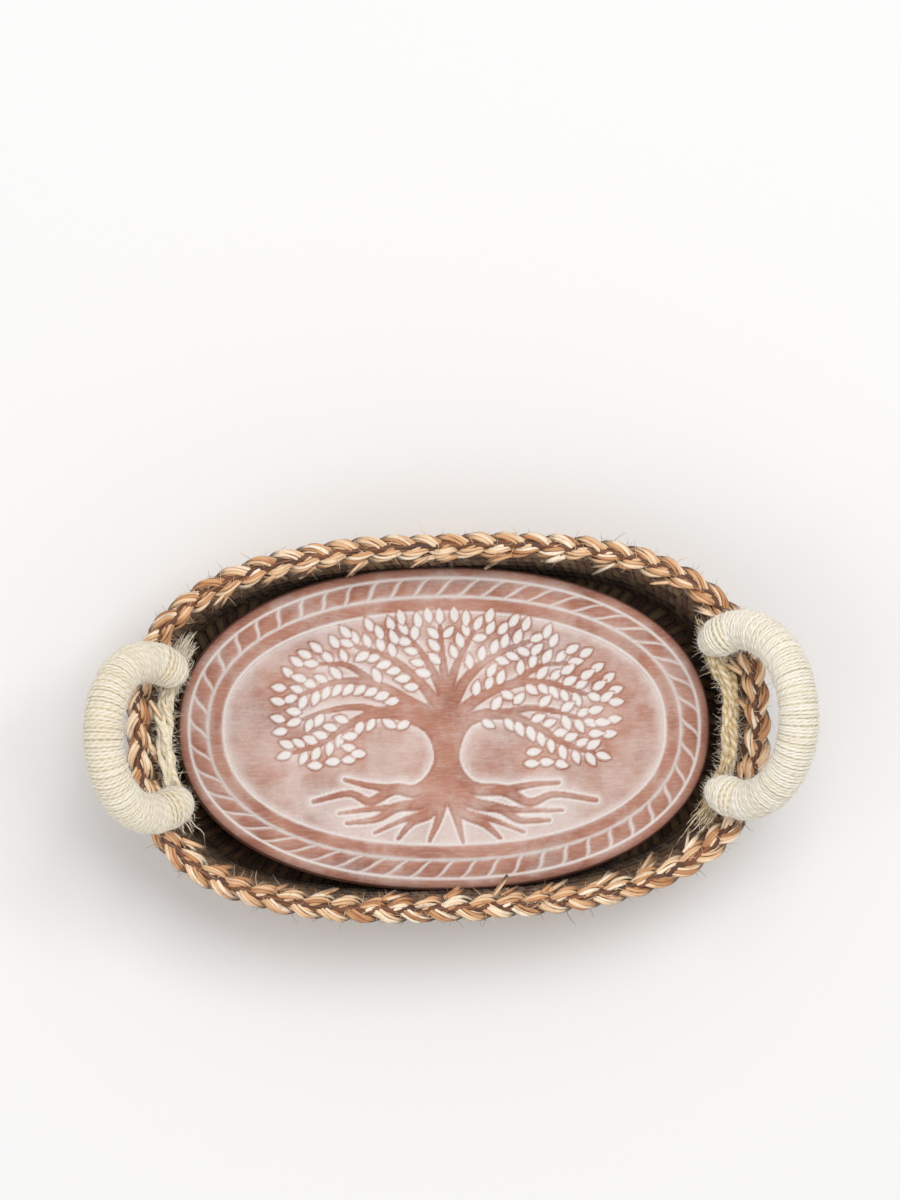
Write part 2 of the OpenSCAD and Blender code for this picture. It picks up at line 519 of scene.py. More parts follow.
@dataclass(frozen=True)
class DryGrass:
    """Dried grass blades plaited damp and left to dry.

    It gives the eye straw gold with brown nodes and darker edges, fine grain
    along each blade and a soft gloss where the blades turn to the light. Where
    the pieces mark it, the colour is also pulled towards a near-black brown as
    painted shade: on the inner side of the wall and floor, more so lower down,
    and in the deeper parts of the plaited rim.
    """

    name: str
    shades: tuple[str, ...]
    grain_mm: float = 0.7  # real veins are about 0.3 mm apart, drawn coarser to show
    grain_depth: float = 0.45
    blotch_mm: float = 9.0
    stain: str = "#6E4426"
    stain_amount: float = 0.5
    # How far the inner side is pulled towards gap, as painted shade.
    painted_inner_shade: float = 0.0
    # The near-black brown that stands for the painted shade.
    gap: str = "#2E1A0C"
    roughness: float = 0.55

    def material(self) -> bpy.types.Material:
        """Builds the finish."""
        made, tree = new_material(self.name)
        tone = carried(tree, "tone")
        offset = add_node(tree, "ShaderNodeCombineXYZ", inputs={"Z": tone}).outputs[0]
        parts = {0: fibre_place(tree), 1: offset}  # each strand has its own part of the pattern
        own = add_node(tree, "ShaderNodeVectorMath", {"operation": "ADD"}, parts).outputs[0]
        grain = noise(tree, mapped(tree, own, (1.0, 0.04, 1.0)), self.grain_mm, 3.0)
        shade = compute(tree, "MULTIPLY_ADD", grain, self.grain_depth, -0.49 * self.grain_depth)
        straw = even_ramp(tree, compute(tree, "ADD", tone, shade, clamp=True), self.shades)
        blotch = noise(tree, own, self.blotch_mm, 4.0)
        spots = spread(tree, blotch, 0.55, 0.75, 0, self.stain_amount)
        stained = mixed(tree, spots, straw, self.stain)
        # Painted shade: where a vertex carries inside, the colour is pulled towards gap, more so
        # below 74 mm, and the rim's deep share adds to it.
        axes = add_node(tree, "ShaderNodeSeparateXYZ", inputs={0: object_place(tree)})
        height = axes.outputs["Z"]
        low = spread(tree, height, 0.074, 0.050, 0.72 * self.painted_inner_shade, self.painted_inner_shade)
        inside, deep = carried(tree, "inside"), carried(tree, "deep")
        shaded = compute(tree, "MULTIPLY_ADD", inside, low, deep, clamp=True)
        colour = mixed(tree, shaded, stained, self.gap)
        feed_shader(tree, colour, grain, (0.6, 0.3), Roughness=self.roughness, Sheen_Weight=0.15)
        return made


@dataclass(frozen=True)
class SpunJute:
    """Jute spun into yarn or laid into rope, unbleached.

    It gives the eye a dull cream with tan shadows between the plies, a twist
    slanting across each strand and a pale haze of stray fibres.
    """

    name: str
    shades: tuple[str, ...]
    twist_mm: float = 2.6
    slant: float = 0.9
    fibre_mm: float = 0.35
    ply_depth: float = 0.45
    roughness: float = 0.9
    by_place: bool = False

    def material(self) -> bpy.types.Material:
        """Builds the finish."""
        made, tree = new_material(self.name)
        start = object_place(tree) if self.by_place else fibre_place(tree)
        turned = mapped(tree, start, (1.0, 1.0, 1.0), self.slant)
        bands = {"Vector": turned, "Scale": 1000 / self.twist_mm / 3.2, "Distortion": 1.2}
        settings = {"wave_type": "BANDS", "bands_direction": "Y"}
        wave = add_node(tree, "ShaderNodeTexWave", settings, {**bands, "Detail": 2.0})
        plies = wave.outputs["Fac"]
        twisted = compute(tree, "MULTIPLY_ADD", plies, self.ply_depth, carried(tree, "tone"))
        fibres = noise(tree, turned, self.fibre_mm, 2.0)
        shade = compute(tree, "MULTIPLY_ADD", fibres, 0.5, twisted, clamp=True)
        colour = even_ramp(tree, shade, self.shades)
        feed_shader(tree, colour, plies, (0.7, 0.4), Roughness=self.roughness, Sheen_Weight=0.25)
        return made


# ---- The stone --------------------------------------------------------------


@dataclass(frozen=True)
class Limb:
    """One branch or root of the relief: knots in millimetres, and its half thickness."""

    knots: tuple[tuple[float, float], ...]
    thick: float
    thin: float
    leaves: bool = True
    fillet: float = 1.2

    def line(self) -> tuple[Array, Array]:
        """The limb's middle line and its half thickness along it."""
        line = spline(self.knots, 8 * len(self.knots))
        return line, np.linspace(self.thick, self.thin, len(line))


def limb_distance(points: Array, line: Array, widths: Array) -> Array:
    """Distance from points to a tapering limb's skin.

    Args:
        points: Places on the stone, in millimetres.
        line: The limb's middle line, one row each.
        widths: The limb's half thickness at each point of the line.

    Returns:
        Signed distance, below zero inside the limb, and large far from it.
    """
    best = np.full(len(points), 1e3)
    reach = widths.max() + 6
    for a, b, width_a, width_b in zip(line[:-1], line[1:], widths[:-1], widths[1:]):
        low, high = np.minimum(a, b) - reach, np.maximum(a, b) + reach
        near = np.flatnonzero(np.all((points > low) & (points < high), axis=1))
        if len(near) == 0:
            continue
        step = b - a
        local = points[near] - a
        t = np.clip(local @ step / max(step @ step, 1e-9), 0, 1)
        gap = np.linalg.norm(local - t[:, None] * step, axis=1)
        best[near] = np.minimum(best[near], gap - (width_a + (width_b - width_a) * t))
    return best


@dataclass
class WarmingStone:
    """The terracotta oval: rope border, ridge, and a leafy tree with forked roots."""

    half_length: float = 136.0
    half_width: float = 82.5
    fullness: float = 2.2
    turn: float = math.radians(-1.9)
    bottom: float = 32.3124
    height: float = 14.0
    edge_round: float = 4.0
    top_inset: float = 1.2
    field_depth: float = 1.5
    rope_inner: float = 15.5
    rope_outer: float = 6.0
    rope_strands: int = 52
    strand_mm: float = 12.7
    rope_lean: float = 12.0
    rope_depth: float = 1.1
    run_inset: float = 11.0
    divider_width: float = 1.5
    groove_width: float = 3.4
    line_widths: tuple[float, float, float] = (1.5, 1.65, 1.8)
    ridge_inner: float = 21.5
    field_edge: float = 23.5
    tree_height: float = 1.4
    outline_off: float = 1.05
    outline_width: float = 1.35
    bare_wood_wash: float = 0.14
    leaf_step: float = 6.6
    leaf_angle: float = 0.78
    leaf_reach: float = 4.9
    leaf_size: tuple[float, float] = (4.3, 2.35)
    tip_reach: float = 5.2
    tip_size: tuple[float, float] = (4.4, 2.3)
    leaf_height: float = 1.35
    leaf_tries: int = 9000
    crown: tuple[float, float, float, float] = (1.0, 9.0, 89.0, 50.0)  # centre, half sizes
    grid: tuple[int, int] = (384, 230)
    limbs: tuple[Limb, ...] = (
        Limb(((1, 13), (1, 2), (1, -12), (1, -24), (1, -30)), 5.6, 6.6, False),
        Limb(((3, -3), (14, 5), (29, 7), (46, 1), (61, -8), (76, -13)), 3.6, 0.9, fillet=9.0),
        Limb(((3, 3), (17, 15), (34, 22), (52, 23), (72, 17)), 3.3, 0.9),
        Limb(((2, 8), (12, 26), (26, 37), (43, 44)), 3.1, 0.9),
        Limb(((1, 16), (7, 34), (15, 49)), 2.6, 0.8),
        Limb(((1, 20), (-1, 36), (-2, 52)), 2.4, 0.8),
        Limb(((0, 16), (-8, 33), (-18, 47)), 2.6, 0.8),
        Limb(((-1, 8), (-13, 24), (-28, 36), (-45, 42)), 3.1, 0.9),
        Limb(((-1, 3), (-17, 13), (-34, 22), (-54, 24), (-74, 17)), 3.3, 0.9),
        Limb(((-1, -3), (-13, 4), (-30, 8), (-47, 3), (-62, -7), (-77, -12)), 3.6, 0.9, fillet=9.0),
        Limb(((29, 7), (43, 10), (58, 8), (70, 4)), 1.8, 0.7),
        Limb(((34, 22), (48, 31), (62, 33)), 1.8, 0.7),
        Limb(((-34, 22), (-49, 32), (-63, 33)), 1.8, 0.7),
        Limb(((-30, 8), (-44, 11), (-60, 9), (-72, 5)), 1.8, 0.7),
        Limb(
            ((-4, -26), (-15, -32), (-26, -31), (-38, -37), (-49, -33), (-67, -37)),
            *(3.8, 0.9, False, 8.0),
        ),
        Limb(((-3, -29), (-12, -38), (-24, -40), (-35, -46), (-50, -48)), 3.8, 0.8, False),
        Limb(((-2, -32), (-8, -43), (-17, -48), (-24, -56)), 3.4, 0.8, False),
        Limb(((-1, -32), (-3, -45), (-8, -57)), 3.0, 0.8, False),
        Limb(
            ((5, -26), (16, -31), (30, -32), (43, -38), (56, -34), (77, -37)),
            *(3.8, 0.9, False, 8.0),
        ),
        Limb(((4, -29), (14, -38), (28, -41), (38, -47), (53, -47)), 3.8, 0.8, False),
        Limb(((3, -32), (9, -43), (20, -49), (28, -56)), 3.4, 0.8, False),
        Limb(((2, -32), (6, -46), (9, -58)), 3.0, 0.8, False),
        Limb(((-26, -31), (-39, -29), (-51, -26)), 2.0, 0.7, False),
        Limb(((30, -32), (44, -29), (58, -28)), 2.0, 0.7, False),
        Limb(((-24, -40), (-38, -41), (-54, -43)), 1.7, 0.6, False),
        Limb(((28, -41), (42, -42), (60, -42)), 1.7, 0.6, False),
        Limb(((-8, -43), (-20, -46), (-36, -53)), 1.7, 0.6, False),
        Limb(((9, -43), (22, -46), (40, -53)), 1.7, 0.6, False),
    )

    def insets(self, x: Array, y: Array) -> Array:
        """Distance in from the stone's outline, in millimetres.

        Args:
            x: Places along the stone.
            y: Places across the stone.

        Returns:
            The distance at each place.
        """
        n = self.fullness
        u = np.maximum(np.abs(x / self.half_length), 1e-9)
        v = np.maximum(np.abs(y / self.half_width), 1e-9)
        radius = (u**n + v**n) ** (1 / n)
        slope = radius ** (1 - n) * np.hypot(
            u ** (n - 1) / self.half_length, v ** (n - 1) / self.half_width
        )
        return (1 - radius) / slope

    def border_run(self, x: Array, y: Array) -> Array:
        """Distance along the rope border, as a share of the whole way round.

        Args:
            x: Places along the stone, in millimetres.
            y: Places across the stone.

        Returns:
            The share at each place, from 0 to 1.
        """
        sizes = [self.half_length, self.half_width]
        loop = superellipse(*(size - self.run_inset for size in sizes), self.fullness)
        around = np.unwrap(np.arctan2(*(loop / sizes).T[::-1]))
        around = np.append(around, around[0] + TAU)
        run = distances(np.vstack([loop, loop[:1]]))
        angle = np.arctan2(y / self.half_width, x / self.half_length)
        return np.interp(np.mod(angle - around[0], TAU), around - around[0], run / run[-1])

    def leaf_places(self, wood: list[tuple[Array, Array]]) -> list[Array]:
        """Chooses where the leaves lie.

        Args:
            wood: Middle line and half thickness of each limb.

        Returns:
            One row a leaf: centre x and y, direction, half length, half width.
        """
        chance = np.random.default_rng(41)
        chosen: list[Array] = []

        def clear(centre: Array, apart: float, off: float) -> bool:
            """Whether a leaf fits between the limbs and the leaves already there.

            Args:
                centre: The leaf's centre, in millimetres.
                apart: Least distance between the centres of two leaves.
                off: Least distance from a limb's skin.

            Returns:
                True if it fits.
            """
            for line, width in wood:
                if np.min(np.linalg.norm(line - centre, axis=1) - width) < off:
                    return False
            return all(np.hypot(*(leaf[:2] - centre)) > apart for leaf in chosen)

        def lay(centre: Array, angle: float, long: float, wide: float) -> None:
            """Keeps one leaf."""
            chosen.append(np.array([*centre, angle, long, wide]))

        long, wide = self.leaf_size
        for limb, (line, width) in zip(self.limbs, wood):
            if not limb.leaves:
                continue
            run = distances(line)
            heading = np.unwrap(np.arctan2(*np.gradient(line, axis=0).T[::-1]))
            ahead = np.array([math.cos(heading[-1]), math.sin(heading[-1])])
            tip = line[-1] + self.tip_reach * ahead
            if clear(tip, 5.4, 3.0):
                lay(tip, heading[-1], *self.tip_size)
            bare = 16 if limb.thick > 3 else 5
            for place in np.arange(bare, run[-1], self.leaf_step):
                at = rows_at(place, run, line)
                way = np.interp(place, run, heading)
                far = np.interp(place, run, width) * 0.75 + self.leaf_reach
                for sign in (1, -1):
                    angle = way + sign * (self.leaf_angle + chance.uniform(-0.12, 0.12))
                    centre = at + far * np.array([math.cos(angle), math.sin(angle)])
                    if self.insets(*centre[:, None])[0] < self.field_edge + 5.0:
                        continue
                    if centre[1] < -21 or (abs(centre[0]) < 12 and centre[1] < 22):
                        continue
                    if clear(centre, 5.3, 2.0):
                        size = chance.uniform(0.92, 1.06)
                        lay(centre, angle, long * size, wide * size)
        x, y, half_x, half_y = self.crown
        for _ in range(self.leaf_tries):  # the crown is filled as closely as leaves can lie
            turn, far = chance.uniform(0, TAU), math.sqrt(chance.uniform(0, 1))
            way = far * np.array([math.cos(turn), math.sin(turn)])
            centre = np.array([x, y]) + way * [half_x, half_y]
            if centre[1] < -19 or (abs(centre[0] - 1) < 15 and centre[1] < 24):
                continue
            if centre[1] < 4 - 0.1 * abs(centre[0]) and abs(centre[0]) < 44:
                continue
            if clear(centre, 5.5, 2.7):
                angle = math.atan2(centre[1] + 14, centre[0]) + chance.uniform(-0.35, 0.35)
                lay(centre, angle, long, wide)
        return chosen

    def border(self, x: Array, y: Array, inset: Array) -> tuple[Array, Array]:
        """Shapes the rope border and the lines beside it.

        Args:
            x: Places along the stone, in millimetres.
            y: Places across the stone.
            inset: Distance in from the outline.

        Returns:
            Height below the highest level, and the wash from 0 to 1.
        """
        level = -self.field_depth * smoothstep(self.ridge_inner, self.field_edge, inset)
        across = np.clip((inset - self.rope_outer) / (self.rope_inner - self.rope_outer), 0, 1)
        middle = 2 * across - 1
        bend = self.rope_lean / self.strand_mm * (0.3 * middle + 0.2 * middle**3)
        part = np.mod(self.border_run(x, y) * self.rope_strands - bend, 1.0)
        gap = np.minimum(part, 1 - part) * self.strand_mm * 0.72
        band = (inset > self.rope_outer) & (inset < self.rope_inner)
        plump = np.sqrt(np.clip(1 - middle**2, 0, 1)) * smoothstep(0, self.groove_width, gap)
        level = np.where(band, self.rope_depth * (plump - 1), level)
        divider = ridge(gap, self.divider_width) * band
        wash = np.maximum(0.95 * divider, 0.3 * np.exp(-gap / 1.3) * band)
        wash = np.maximum(wash, 0.05 * (inset > self.rope_inner))
        edges = (self.rope_outer, self.rope_inner, self.field_edge)
        for edge, width in zip(edges, self.line_widths):
            line = ridge(inset - edge, width)
            glow = 0.42 * np.exp(-np.abs(inset - edge) / 1.8)
            wash = np.maximum(wash, np.maximum(line, glow))
            level = np.maximum(level, -0.35 - (1 - line) * 2)
        return np.where(band, np.maximum(level, -0.3 - (1 - divider) * 2), level), wash

    def wood_distance(self, points: Array, lines: list[tuple[Array, Array]]) -> Array:
        """Distance to the skin of trunk, branches and roots, filleted where they meet.

        Args:
            points: Places on the stone, in millimetres.
            lines: Middle line and half thickness of each limb.

        Returns:
            Signed distance, below zero inside the tree.
        """
        wood, *rest = (limb_distance(points, *line) for line in lines)
        for limb, one in zip(self.limbs[1:], rest):
            mix = np.clip(0.5 + 0.5 * (one - wood) / limb.fillet, 0, 1)
            wood = one + (wood - one) * mix - limb.fillet * mix * (1 - mix)
        return wood

    def sunken_field(
        self, x: Array, y: Array, inset: Array, wood: Array, level: Array, wash: Array
    ) -> tuple[Array, Array]:
        """Raises the tree from the sunken field, and gathers wash round it.

        Args:
            x: Places along the stone, in millimetres.
            y: Places across the stone.
            inset: Distance in from the outline.
            wood: Distance to the tree's skin, below zero inside it.
            level: Height so far.
            wash: Wash so far.

        Returns:
            The new height and wash.
        """
        zone = inset > self.field_edge + 0.4
        haze = 0.8 * np.exp(-np.clip(inset - self.field_edge, 0, None) / 6.5)
        drift = 0.5 + 0.5 * np.sin(x * 0.045 + 1.3) * np.cos(y * 0.07 - 0.6)
        wash = np.maximum(wash, np.maximum(0.2 + 0.24 * drift, haze) * zone)
        inside = 1 - smoothstep(-1.3, 0.35, wood)
        grain = 0.12 * np.sin(x * 1.7 + 0.8 * np.sin(y * 0.35)) * (wood < -1.5) * (np.abs(x) < 12)
        top = -self.field_depth + self.tree_height * inside + grain
        level = np.where(zone & (wood < 0.6), np.maximum(level, top), level)
        below = smoothstep(-14, -24, y)
        outline = ridge(wood - self.outline_off, self.outline_width) * zone * (0.8 + 0.2 * below)
        level = np.where(zone, np.maximum(level, -self.field_depth - 0.1 + 0.6 * outline), level)
        soil = smoothstep(-24, -32, y) * smoothstep(84, 60, np.abs(x)) * zone
        wash = np.maximum(wash, 0.62 * soil)
        wash = np.maximum(np.where(wood < 0.2, self.bare_wood_wash, wash), outline)
        near_wood = np.exp(-np.clip(wood - 1.0, 0, None) / 5.0) * zone * (wood > 0.5)
        return level, np.maximum(wash, 0.82 * near_wood)

    def press_leaf(self, leaf: Array, x: Array, y: Array, level: Array, wash: Array) -> None:
        """Raises one leaf with a midrib, in place, and clears the wash at its foot.

        Args:
            leaf: Centre x and y, direction, half length, half width.
            x: Places along the stone, in millimetres.
            y: Places across the stone.
            level: Height at each place, changed here.
            wash: Wash at each place, changed here.
        """
        cx, cy, angle, long, wide = leaf
        near = np.flatnonzero((np.abs(x - cx) < 7) & (np.abs(y - cy) < 7))
        dx, dy = x[near] - cx, y[near] - cy
        u = (dx * math.cos(angle) + dy * math.sin(angle)) / long
        v = (-dx * math.sin(angle) + dy * math.cos(angle)) / wide
        shape = np.abs(v) - np.clip(1 - np.abs(u) ** 2.3, 0, None) * (1 - 0.18 * u)
        body = (1 - smoothstep(-0.28, 0.12, shape)) * (np.abs(u) < 1.02)
        midrib = 1 - 0.18 * np.exp(-((v / 0.2) ** 2)) * (np.abs(u) < 0.8)
        dome = -self.field_depth + self.leaf_height * np.sqrt(np.clip(body, 0, 1)) * midrib
        level[near] = np.where(body > 0.02, np.maximum(level[near], dome), level[near])
        foot = (1 - smoothstep(0.12, 0.55, shape)) * (np.abs(u) < 1.15)
        wash[near] = np.where(body < 0.3, wash[near] * (1 - 0.75 * foot), wash[near])
        wash[near] = np.maximum(wash[near], body)

    def relief(self, x: Array, y: Array) -> tuple[Array, Array]:
        """Height of the top face and how much wash it holds.

        Args:
            x: Places along the stone, in millimetres.
            y: Places across the stone, in millimetres.

        Returns:
            Height below the stone's top, and the wash from 0 to 1.
        """
        inset = self.insets(x, y)
        level, wash = self.border(x, y, inset)
        lines = [limb.line() for limb in self.limbs]
        wood = self.wood_distance(np.stack([x, y], -1), lines)
        level, wash = self.sunken_field(x, y, inset, wood, level, wash)
        for leaf in self.leaf_places(lines):
            self.press_leaf(leaf, x, y, level, wash)
        worn = np.random.default_rng(7).uniform(0.9, 1.0, len(x))
        slip = np.clip(self.edge_round - inset, 0, None)
        level -= self.edge_round - np.sqrt(np.clip(self.edge_round**2 - slip**2, 0, None))
        return level, np.clip(wash * worn, 0, 1)

    def skirt(self, shell: Shell, rim: Array, outer: Array) -> None:
        """Closes the stone with its side and underside.

        Args:
            shell: The shell that holds the top face.
            rim: Vertex numbers round the top face's edge.
            outer: Their places in plan, in millimetres.
        """
        top = self.bottom + self.height
        rings = (  # inset from the outline, and height
            (1.0, top - 3.6),
            (0.2, top - 5.4),
            (0.0, self.bottom + 2.2),
            (0.5, self.bottom + 0.8),
            (2.0, self.bottom),
        )
        away = unit(outer / [self.half_length**2, self.half_width**2])
        for inset, z in rings:
            plan = outer + away * (self.top_inset - inset)
            points = np.column_stack([plan, np.full(len(rim), z)])
            now = shell.add(points, np.zeros((0, 4)), plan * MM, 0.5) + np.arange(len(rim))
            shell.quads.append(np.stack([rim, now, np.roll(now, -1), np.roll(rim, -1)], -1))
            rim = now
        shell.fan(rim, np.array([0, 0, self.bottom]), np.zeros(2), 0.5, flip=True)

    def build(self) -> bpy.types.Object:
        """Builds the stone as one closed piece."""
        columns, rows = self.grid
        u, v = np.meshgrid(np.linspace(-1, 1, columns), np.linspace(-1, 1, rows))
        disc = np.stack([u * np.sqrt(1 - v**2 / 2), v * np.sqrt(1 - u**2 / 2)], -1).reshape(-1, 2)
        radius = np.linalg.norm(disc, axis=1, keepdims=True)
        way = disc / np.maximum(radius, 1e-9)
        n = self.fullness
        stretch = radius / np.maximum(np.sum(np.abs(way) ** n, 1, keepdims=True) ** (1 / n), 1e-9)
        sizes = np.array([self.half_length, self.half_width]) - self.top_inset
        plan = stretch * way * sizes
        level, wash = self.relief(*plan.T)
        top = self.bottom + self.height + level
        index = np.arange(rows * columns).reshape(rows, columns)
        quads = np.stack([index[:-1, :-1], index[:-1, 1:], index[1:, 1:], index[1:, :-1]], -1)
        shell = Shell()
        shell.add(np.column_stack([plan, top]), quads, plan * MM, 0.5)
        edges = (index[0, :-1], index[:-1, -1], index[-1, :0:-1], index[:0:-1, 0])
        rim = np.concatenate(edges)
        self.skirt(shell, rim, plan[rim])
        washes = np.zeros(shell.count)
        washes[: len(wash)] = wash
        turn = np.array(Matrix.Rotation(self.turn, 3, "Z"))
        shell.points = [batch @ turn.T * MM for batch in shell.points]
        piece = shell.build("warming_stone_relief", wash=washes)
        piece.data.materials.append(FiredClay().material())
        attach(piece, "stone")
        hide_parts("warming_stone")
        return piece


# ---- Geometry Nodes ---------------------------------------------------------


def new_tree(name: str, sockets: dict[str, str]) -> tuple[Any, Any, Any]:
    """Starts a Geometry Nodes tree.

    Args:
        name: The tree's name.
        sockets: Name of each input, and the last word of its socket type.

    Returns:
        The tree, its input node and its output node.
    """
    tree = bpy.data.node_groups.new(name, "GeometryNodeTree")
    for socket, kind in sockets.items():
        tree.interface.new_socket(socket, in_out="INPUT", socket_type="NodeSocket" + kind)
    tree.interface.new_socket("Geometry", in_out="OUTPUT", socket_type="NodeSocketGeometry")
    return tree, add_node(tree, "NodeGroupInput"), add_node(tree, "NodeGroupOutput")


def random_value(tree: Any, low: Any, high: Any, seed: Socket | int) -> Socket:
    """A random number, or vector, from low to high for each copy.

    Args:
        tree: The tree that gets the node.
        low: The least value, or a socket or triple for a vector.
        high: The most value, of the same kind.
        seed: Seed of the draw.

    Returns:
        The random value.
    """
    kind = "FLOAT" if isinstance(low, float) else "FLOAT_VECTOR"
    inputs = {"Min": low, "Max": high, "Seed": seed}
    node = add_node(tree, "FunctionNodeRandomValue", {"data_type": kind}, inputs)
    return next(socket for socket in node.outputs if socket.enabled)


def leant(
    tree: Any, rotation: Socket, limits: Sequence[float], share: Socket, seed: Socket
) -> Socket:
    """Leans a rotation at random.

    Args:
        tree: The tree that gets the nodes.
        rotation: The rotation of each copy.
        limits: The furthest lean about its own X, Y and Z, in radians.
        share: How much of those limits is used.
        seed: Seed of the leans.

    Returns:
        The new rotation.
    """
    ends = []
    for sign in (-1.0, 1.0):
        inputs = {0: [sign * limit for limit in limits], "Scale": share}
        scaled = add_node(tree, "ShaderNodeVectorMath", {"operation": "SCALE"}, inputs)
        ends.append(scaled.outputs[0])
    lean = {"Euler": random_value(tree, *ends, seed)}
    by = add_node(tree, "FunctionNodeEulerToRotation", inputs=lean).outputs["Rotation"]
    inputs = {"Rotation": rotation, "Rotate By": by}
    local = {"rotation_space": "LOCAL"}
    return add_node(tree, "FunctionNodeRotateRotation", local, inputs).outputs["Rotation"]


def copies_of(tree: Any, thing: Socket, points: Socket, turned: Socket, scale: Socket) -> Socket:
    """Stands a turned and scaled copy of an object on each point.

    Args:
        tree: The tree that gets the nodes.
        thing: The object to copy.
        points: Where the copies stand.
        turned: Rotation of each copy.
        scale: Scale of each copy.

    Returns:
        The copies, as instances.
    """
    shape = add_node(tree, "GeometryNodeObjectInfo", inputs={"Object": thing}).outputs["Geometry"]
    inputs = {"Points": points, "Instance": shape, "Rotation": turned, "Scale": scale}
    return add_node(tree, "GeometryNodeInstanceOnPoints", inputs=inputs).outputs["Instances"]


def close_tree(tree: Any, source: Any, target: Any, base: Socket, copies: Socket) -> None:
    """Joins the copies to the base, makes them real, and dresses the whole.

    Args:
        tree: The tree that gets the nodes.
        source: The tree's input node.
        target: The tree's output node.
        base: Geometry that the copies stand on.
        copies: The copies, as instances.
    """
    joined = add_node(tree, "GeometryNodeJoinGeometry")
    for part in (base, copies):
        tree.links.new(part, joined.inputs[0])
    real = add_node(tree, "GeometryNodeRealizeInstances", inputs={0: joined.outputs[0]})
    inputs = {"Geometry": real.outputs[0], "Material": source.outputs["Finish"]}
    dressed = add_node(tree, "GeometryNodeSetMaterial", inputs=inputs)
    tree.links.new(dressed.outputs["Geometry"], target.inputs["Geometry"])


def run_tree(piece: bpy.types.Object, tree: Any, values: dict[str, Any]) -> None:
    """Runs a tree on a piece and keeps the result as its plain mesh.

    Args:
        piece: The object whose mesh goes in and is replaced.
        tree: The Geometry Nodes tree.
        values: A value for each named input.
    """
    modifier = piece.modifiers.new(tree.name, "NODES")
    modifier.node_group = tree
    keys = {s.name: s.identifier for s in tree.interface.items_tree if s.in_out == "INPUT"}
    for name, value in values.items():
        modifier[keys[name]] = value
    piece.update_tag()
    bpy.context.view_layer.update()
    graph = bpy.context.evaluated_depsgraph_get()
    made = bpy.data.meshes.new_from_object(
        piece.evaluated_get(graph), preserve_all_data_layers=True, depsgraph=graph
    )
    piece.modifiers.remove(modifier)
    old, piece.data = piece.data, made
    made.name = piece.name
    bpy.data.meshes.remove(old)
    made.shade_smooth()


def drop(piece: bpy.types.Object) -> None:
    """Removes a helper object and its mesh."""
    mesh = piece.data
    bpy.data.objects.remove(piece)
    bpy.data.meshes.remove(mesh)


def rest_on_ground(piece: bpy.types.Object) -> None:
    """Flattens whatever hangs below the ground."""
    places = np.empty(3 * len(piece.data.vertices), np.float32)
    piece.data.vertices.foreach_get("co", places)
    places[2::3] = np.maximum(places[2::3], 0.1 * MM)
    piece.data.vertices.foreach_set("co", places)
    piece.data.update()


def strip_tree() -> Any:
    """Tree that stands copies of one bent grass strip along a course's middle line."""
    sockets = {
        "Core": "Geometry",
        "Middle Line": "Object",
        "Strip": "Object",
        "Count": "Int",
        "Wander": "Float",
        "Seed": "Int",
        "Finish": "Material",
    }
    tree, source, target = new_tree("grass_strips_along_course", sockets)
    given = source.outputs
    line = add_node(tree, "GeometryNodeObjectInfo", inputs={"Object": given["Middle Line"]})
    curve = add_node(tree, "GeometryNodeMeshToCurve", inputs={"Mesh": line.outputs["Geometry"]})
    inputs = {"Curve": curve.outputs["Curve"], "Count": given["Count"]}
    points = add_node(tree, "GeometryNodeResampleCurve", inputs=inputs).outputs["Curve"]
    tangent = add_node(tree, "GeometryNodeInputTangent").outputs["Tangent"]
    axes = {"axis": "X", "pivot_axis": "Z"}
    heading = add_node(tree, "FunctionNodeAlignRotationToVector", axes, {"Vector": tangent})
    turned = leant(
        tree, heading.outputs["Rotation"], (1.0, 0.5, 1.0), given["Wander"], given["Seed"]
    )
    girth = random_value(tree, (0.85, 0.97, 0.97), (1.2, 1.05, 1.03), 11)
    copies = copies_of(tree, given["Strip"], points, turned, girth)
    tone = random_value(tree, 0.08, 0.95, given["Seed"])
    kind = {"data_type": "FLOAT", "domain": "INSTANCE"}
    inputs = {"Geometry": copies, "Name": "tone", "Value": tone}
    toned = add_node(tree, "GeometryNodeStoreNamedAttribute", kind, inputs)
    close_tree(tree, source, target, given["Core"], toned.outputs["Geometry"])
    return tree


def fuzz_tree() -> Any:
    """Tree that lets short stray fibres stand out of a surface."""
    sockets = {
        "Surface": "Geometry",
        "Fibre": "Object",
        "Fibres Per Square Metre": "Float",
        "Lie": "Float",
        "Seed": "Int",
        "Finish": "Material",
    }
    tree, source, target = new_tree("stray_fibres", sockets)
    given = source.outputs
    method = {"distribute_method": "RANDOM"}
    inputs = {
        "Mesh": given["Surface"],
        "Density": given["Fibres Per Square Metre"],
        "Seed": given["Seed"],
    }
    roots = add_node(tree, "GeometryNodeDistributePointsOnFaces", method, inputs).outputs
    turned = leant(tree, roots["Rotation"], (1.0, 1.0, 3.1), given["Lie"], given["Seed"])
    size = random_value(tree, 0.5, 1.3, given["Seed"])
    copies = copies_of(tree, given["Fibre"], roots["Points"], turned, size)
    close_tree(tree, source, target, given["Surface"], copies)
    return tree


def stray_fibre(length: float, thickness: float) -> bpy.types.Object:
    """Builds one curved, three-sided fibre that stands up from the origin, in metres.

    Args:
        length: The fibre's length.
        thickness: Its thickness at the root.

    Returns:
        The helper object.
    """
    shell = Shell()
    t = np.linspace(0, 1, 4)
    path = np.stack([0.35 * length * t**2, 0 * t, length * (t - 0.12)], -1)
    sizes = thickness * np.array([1, 0.9, 0.7, 0.3])
    section = round_section(0.5, 0.5, 3)[None] * sizes[:, None, None]
    sweep(shell, path, *frames_along(path, np.array([0.0, 1.0, 0.0]), False), section, 0.85)
    return shell.build("stray_fibre_pattern")


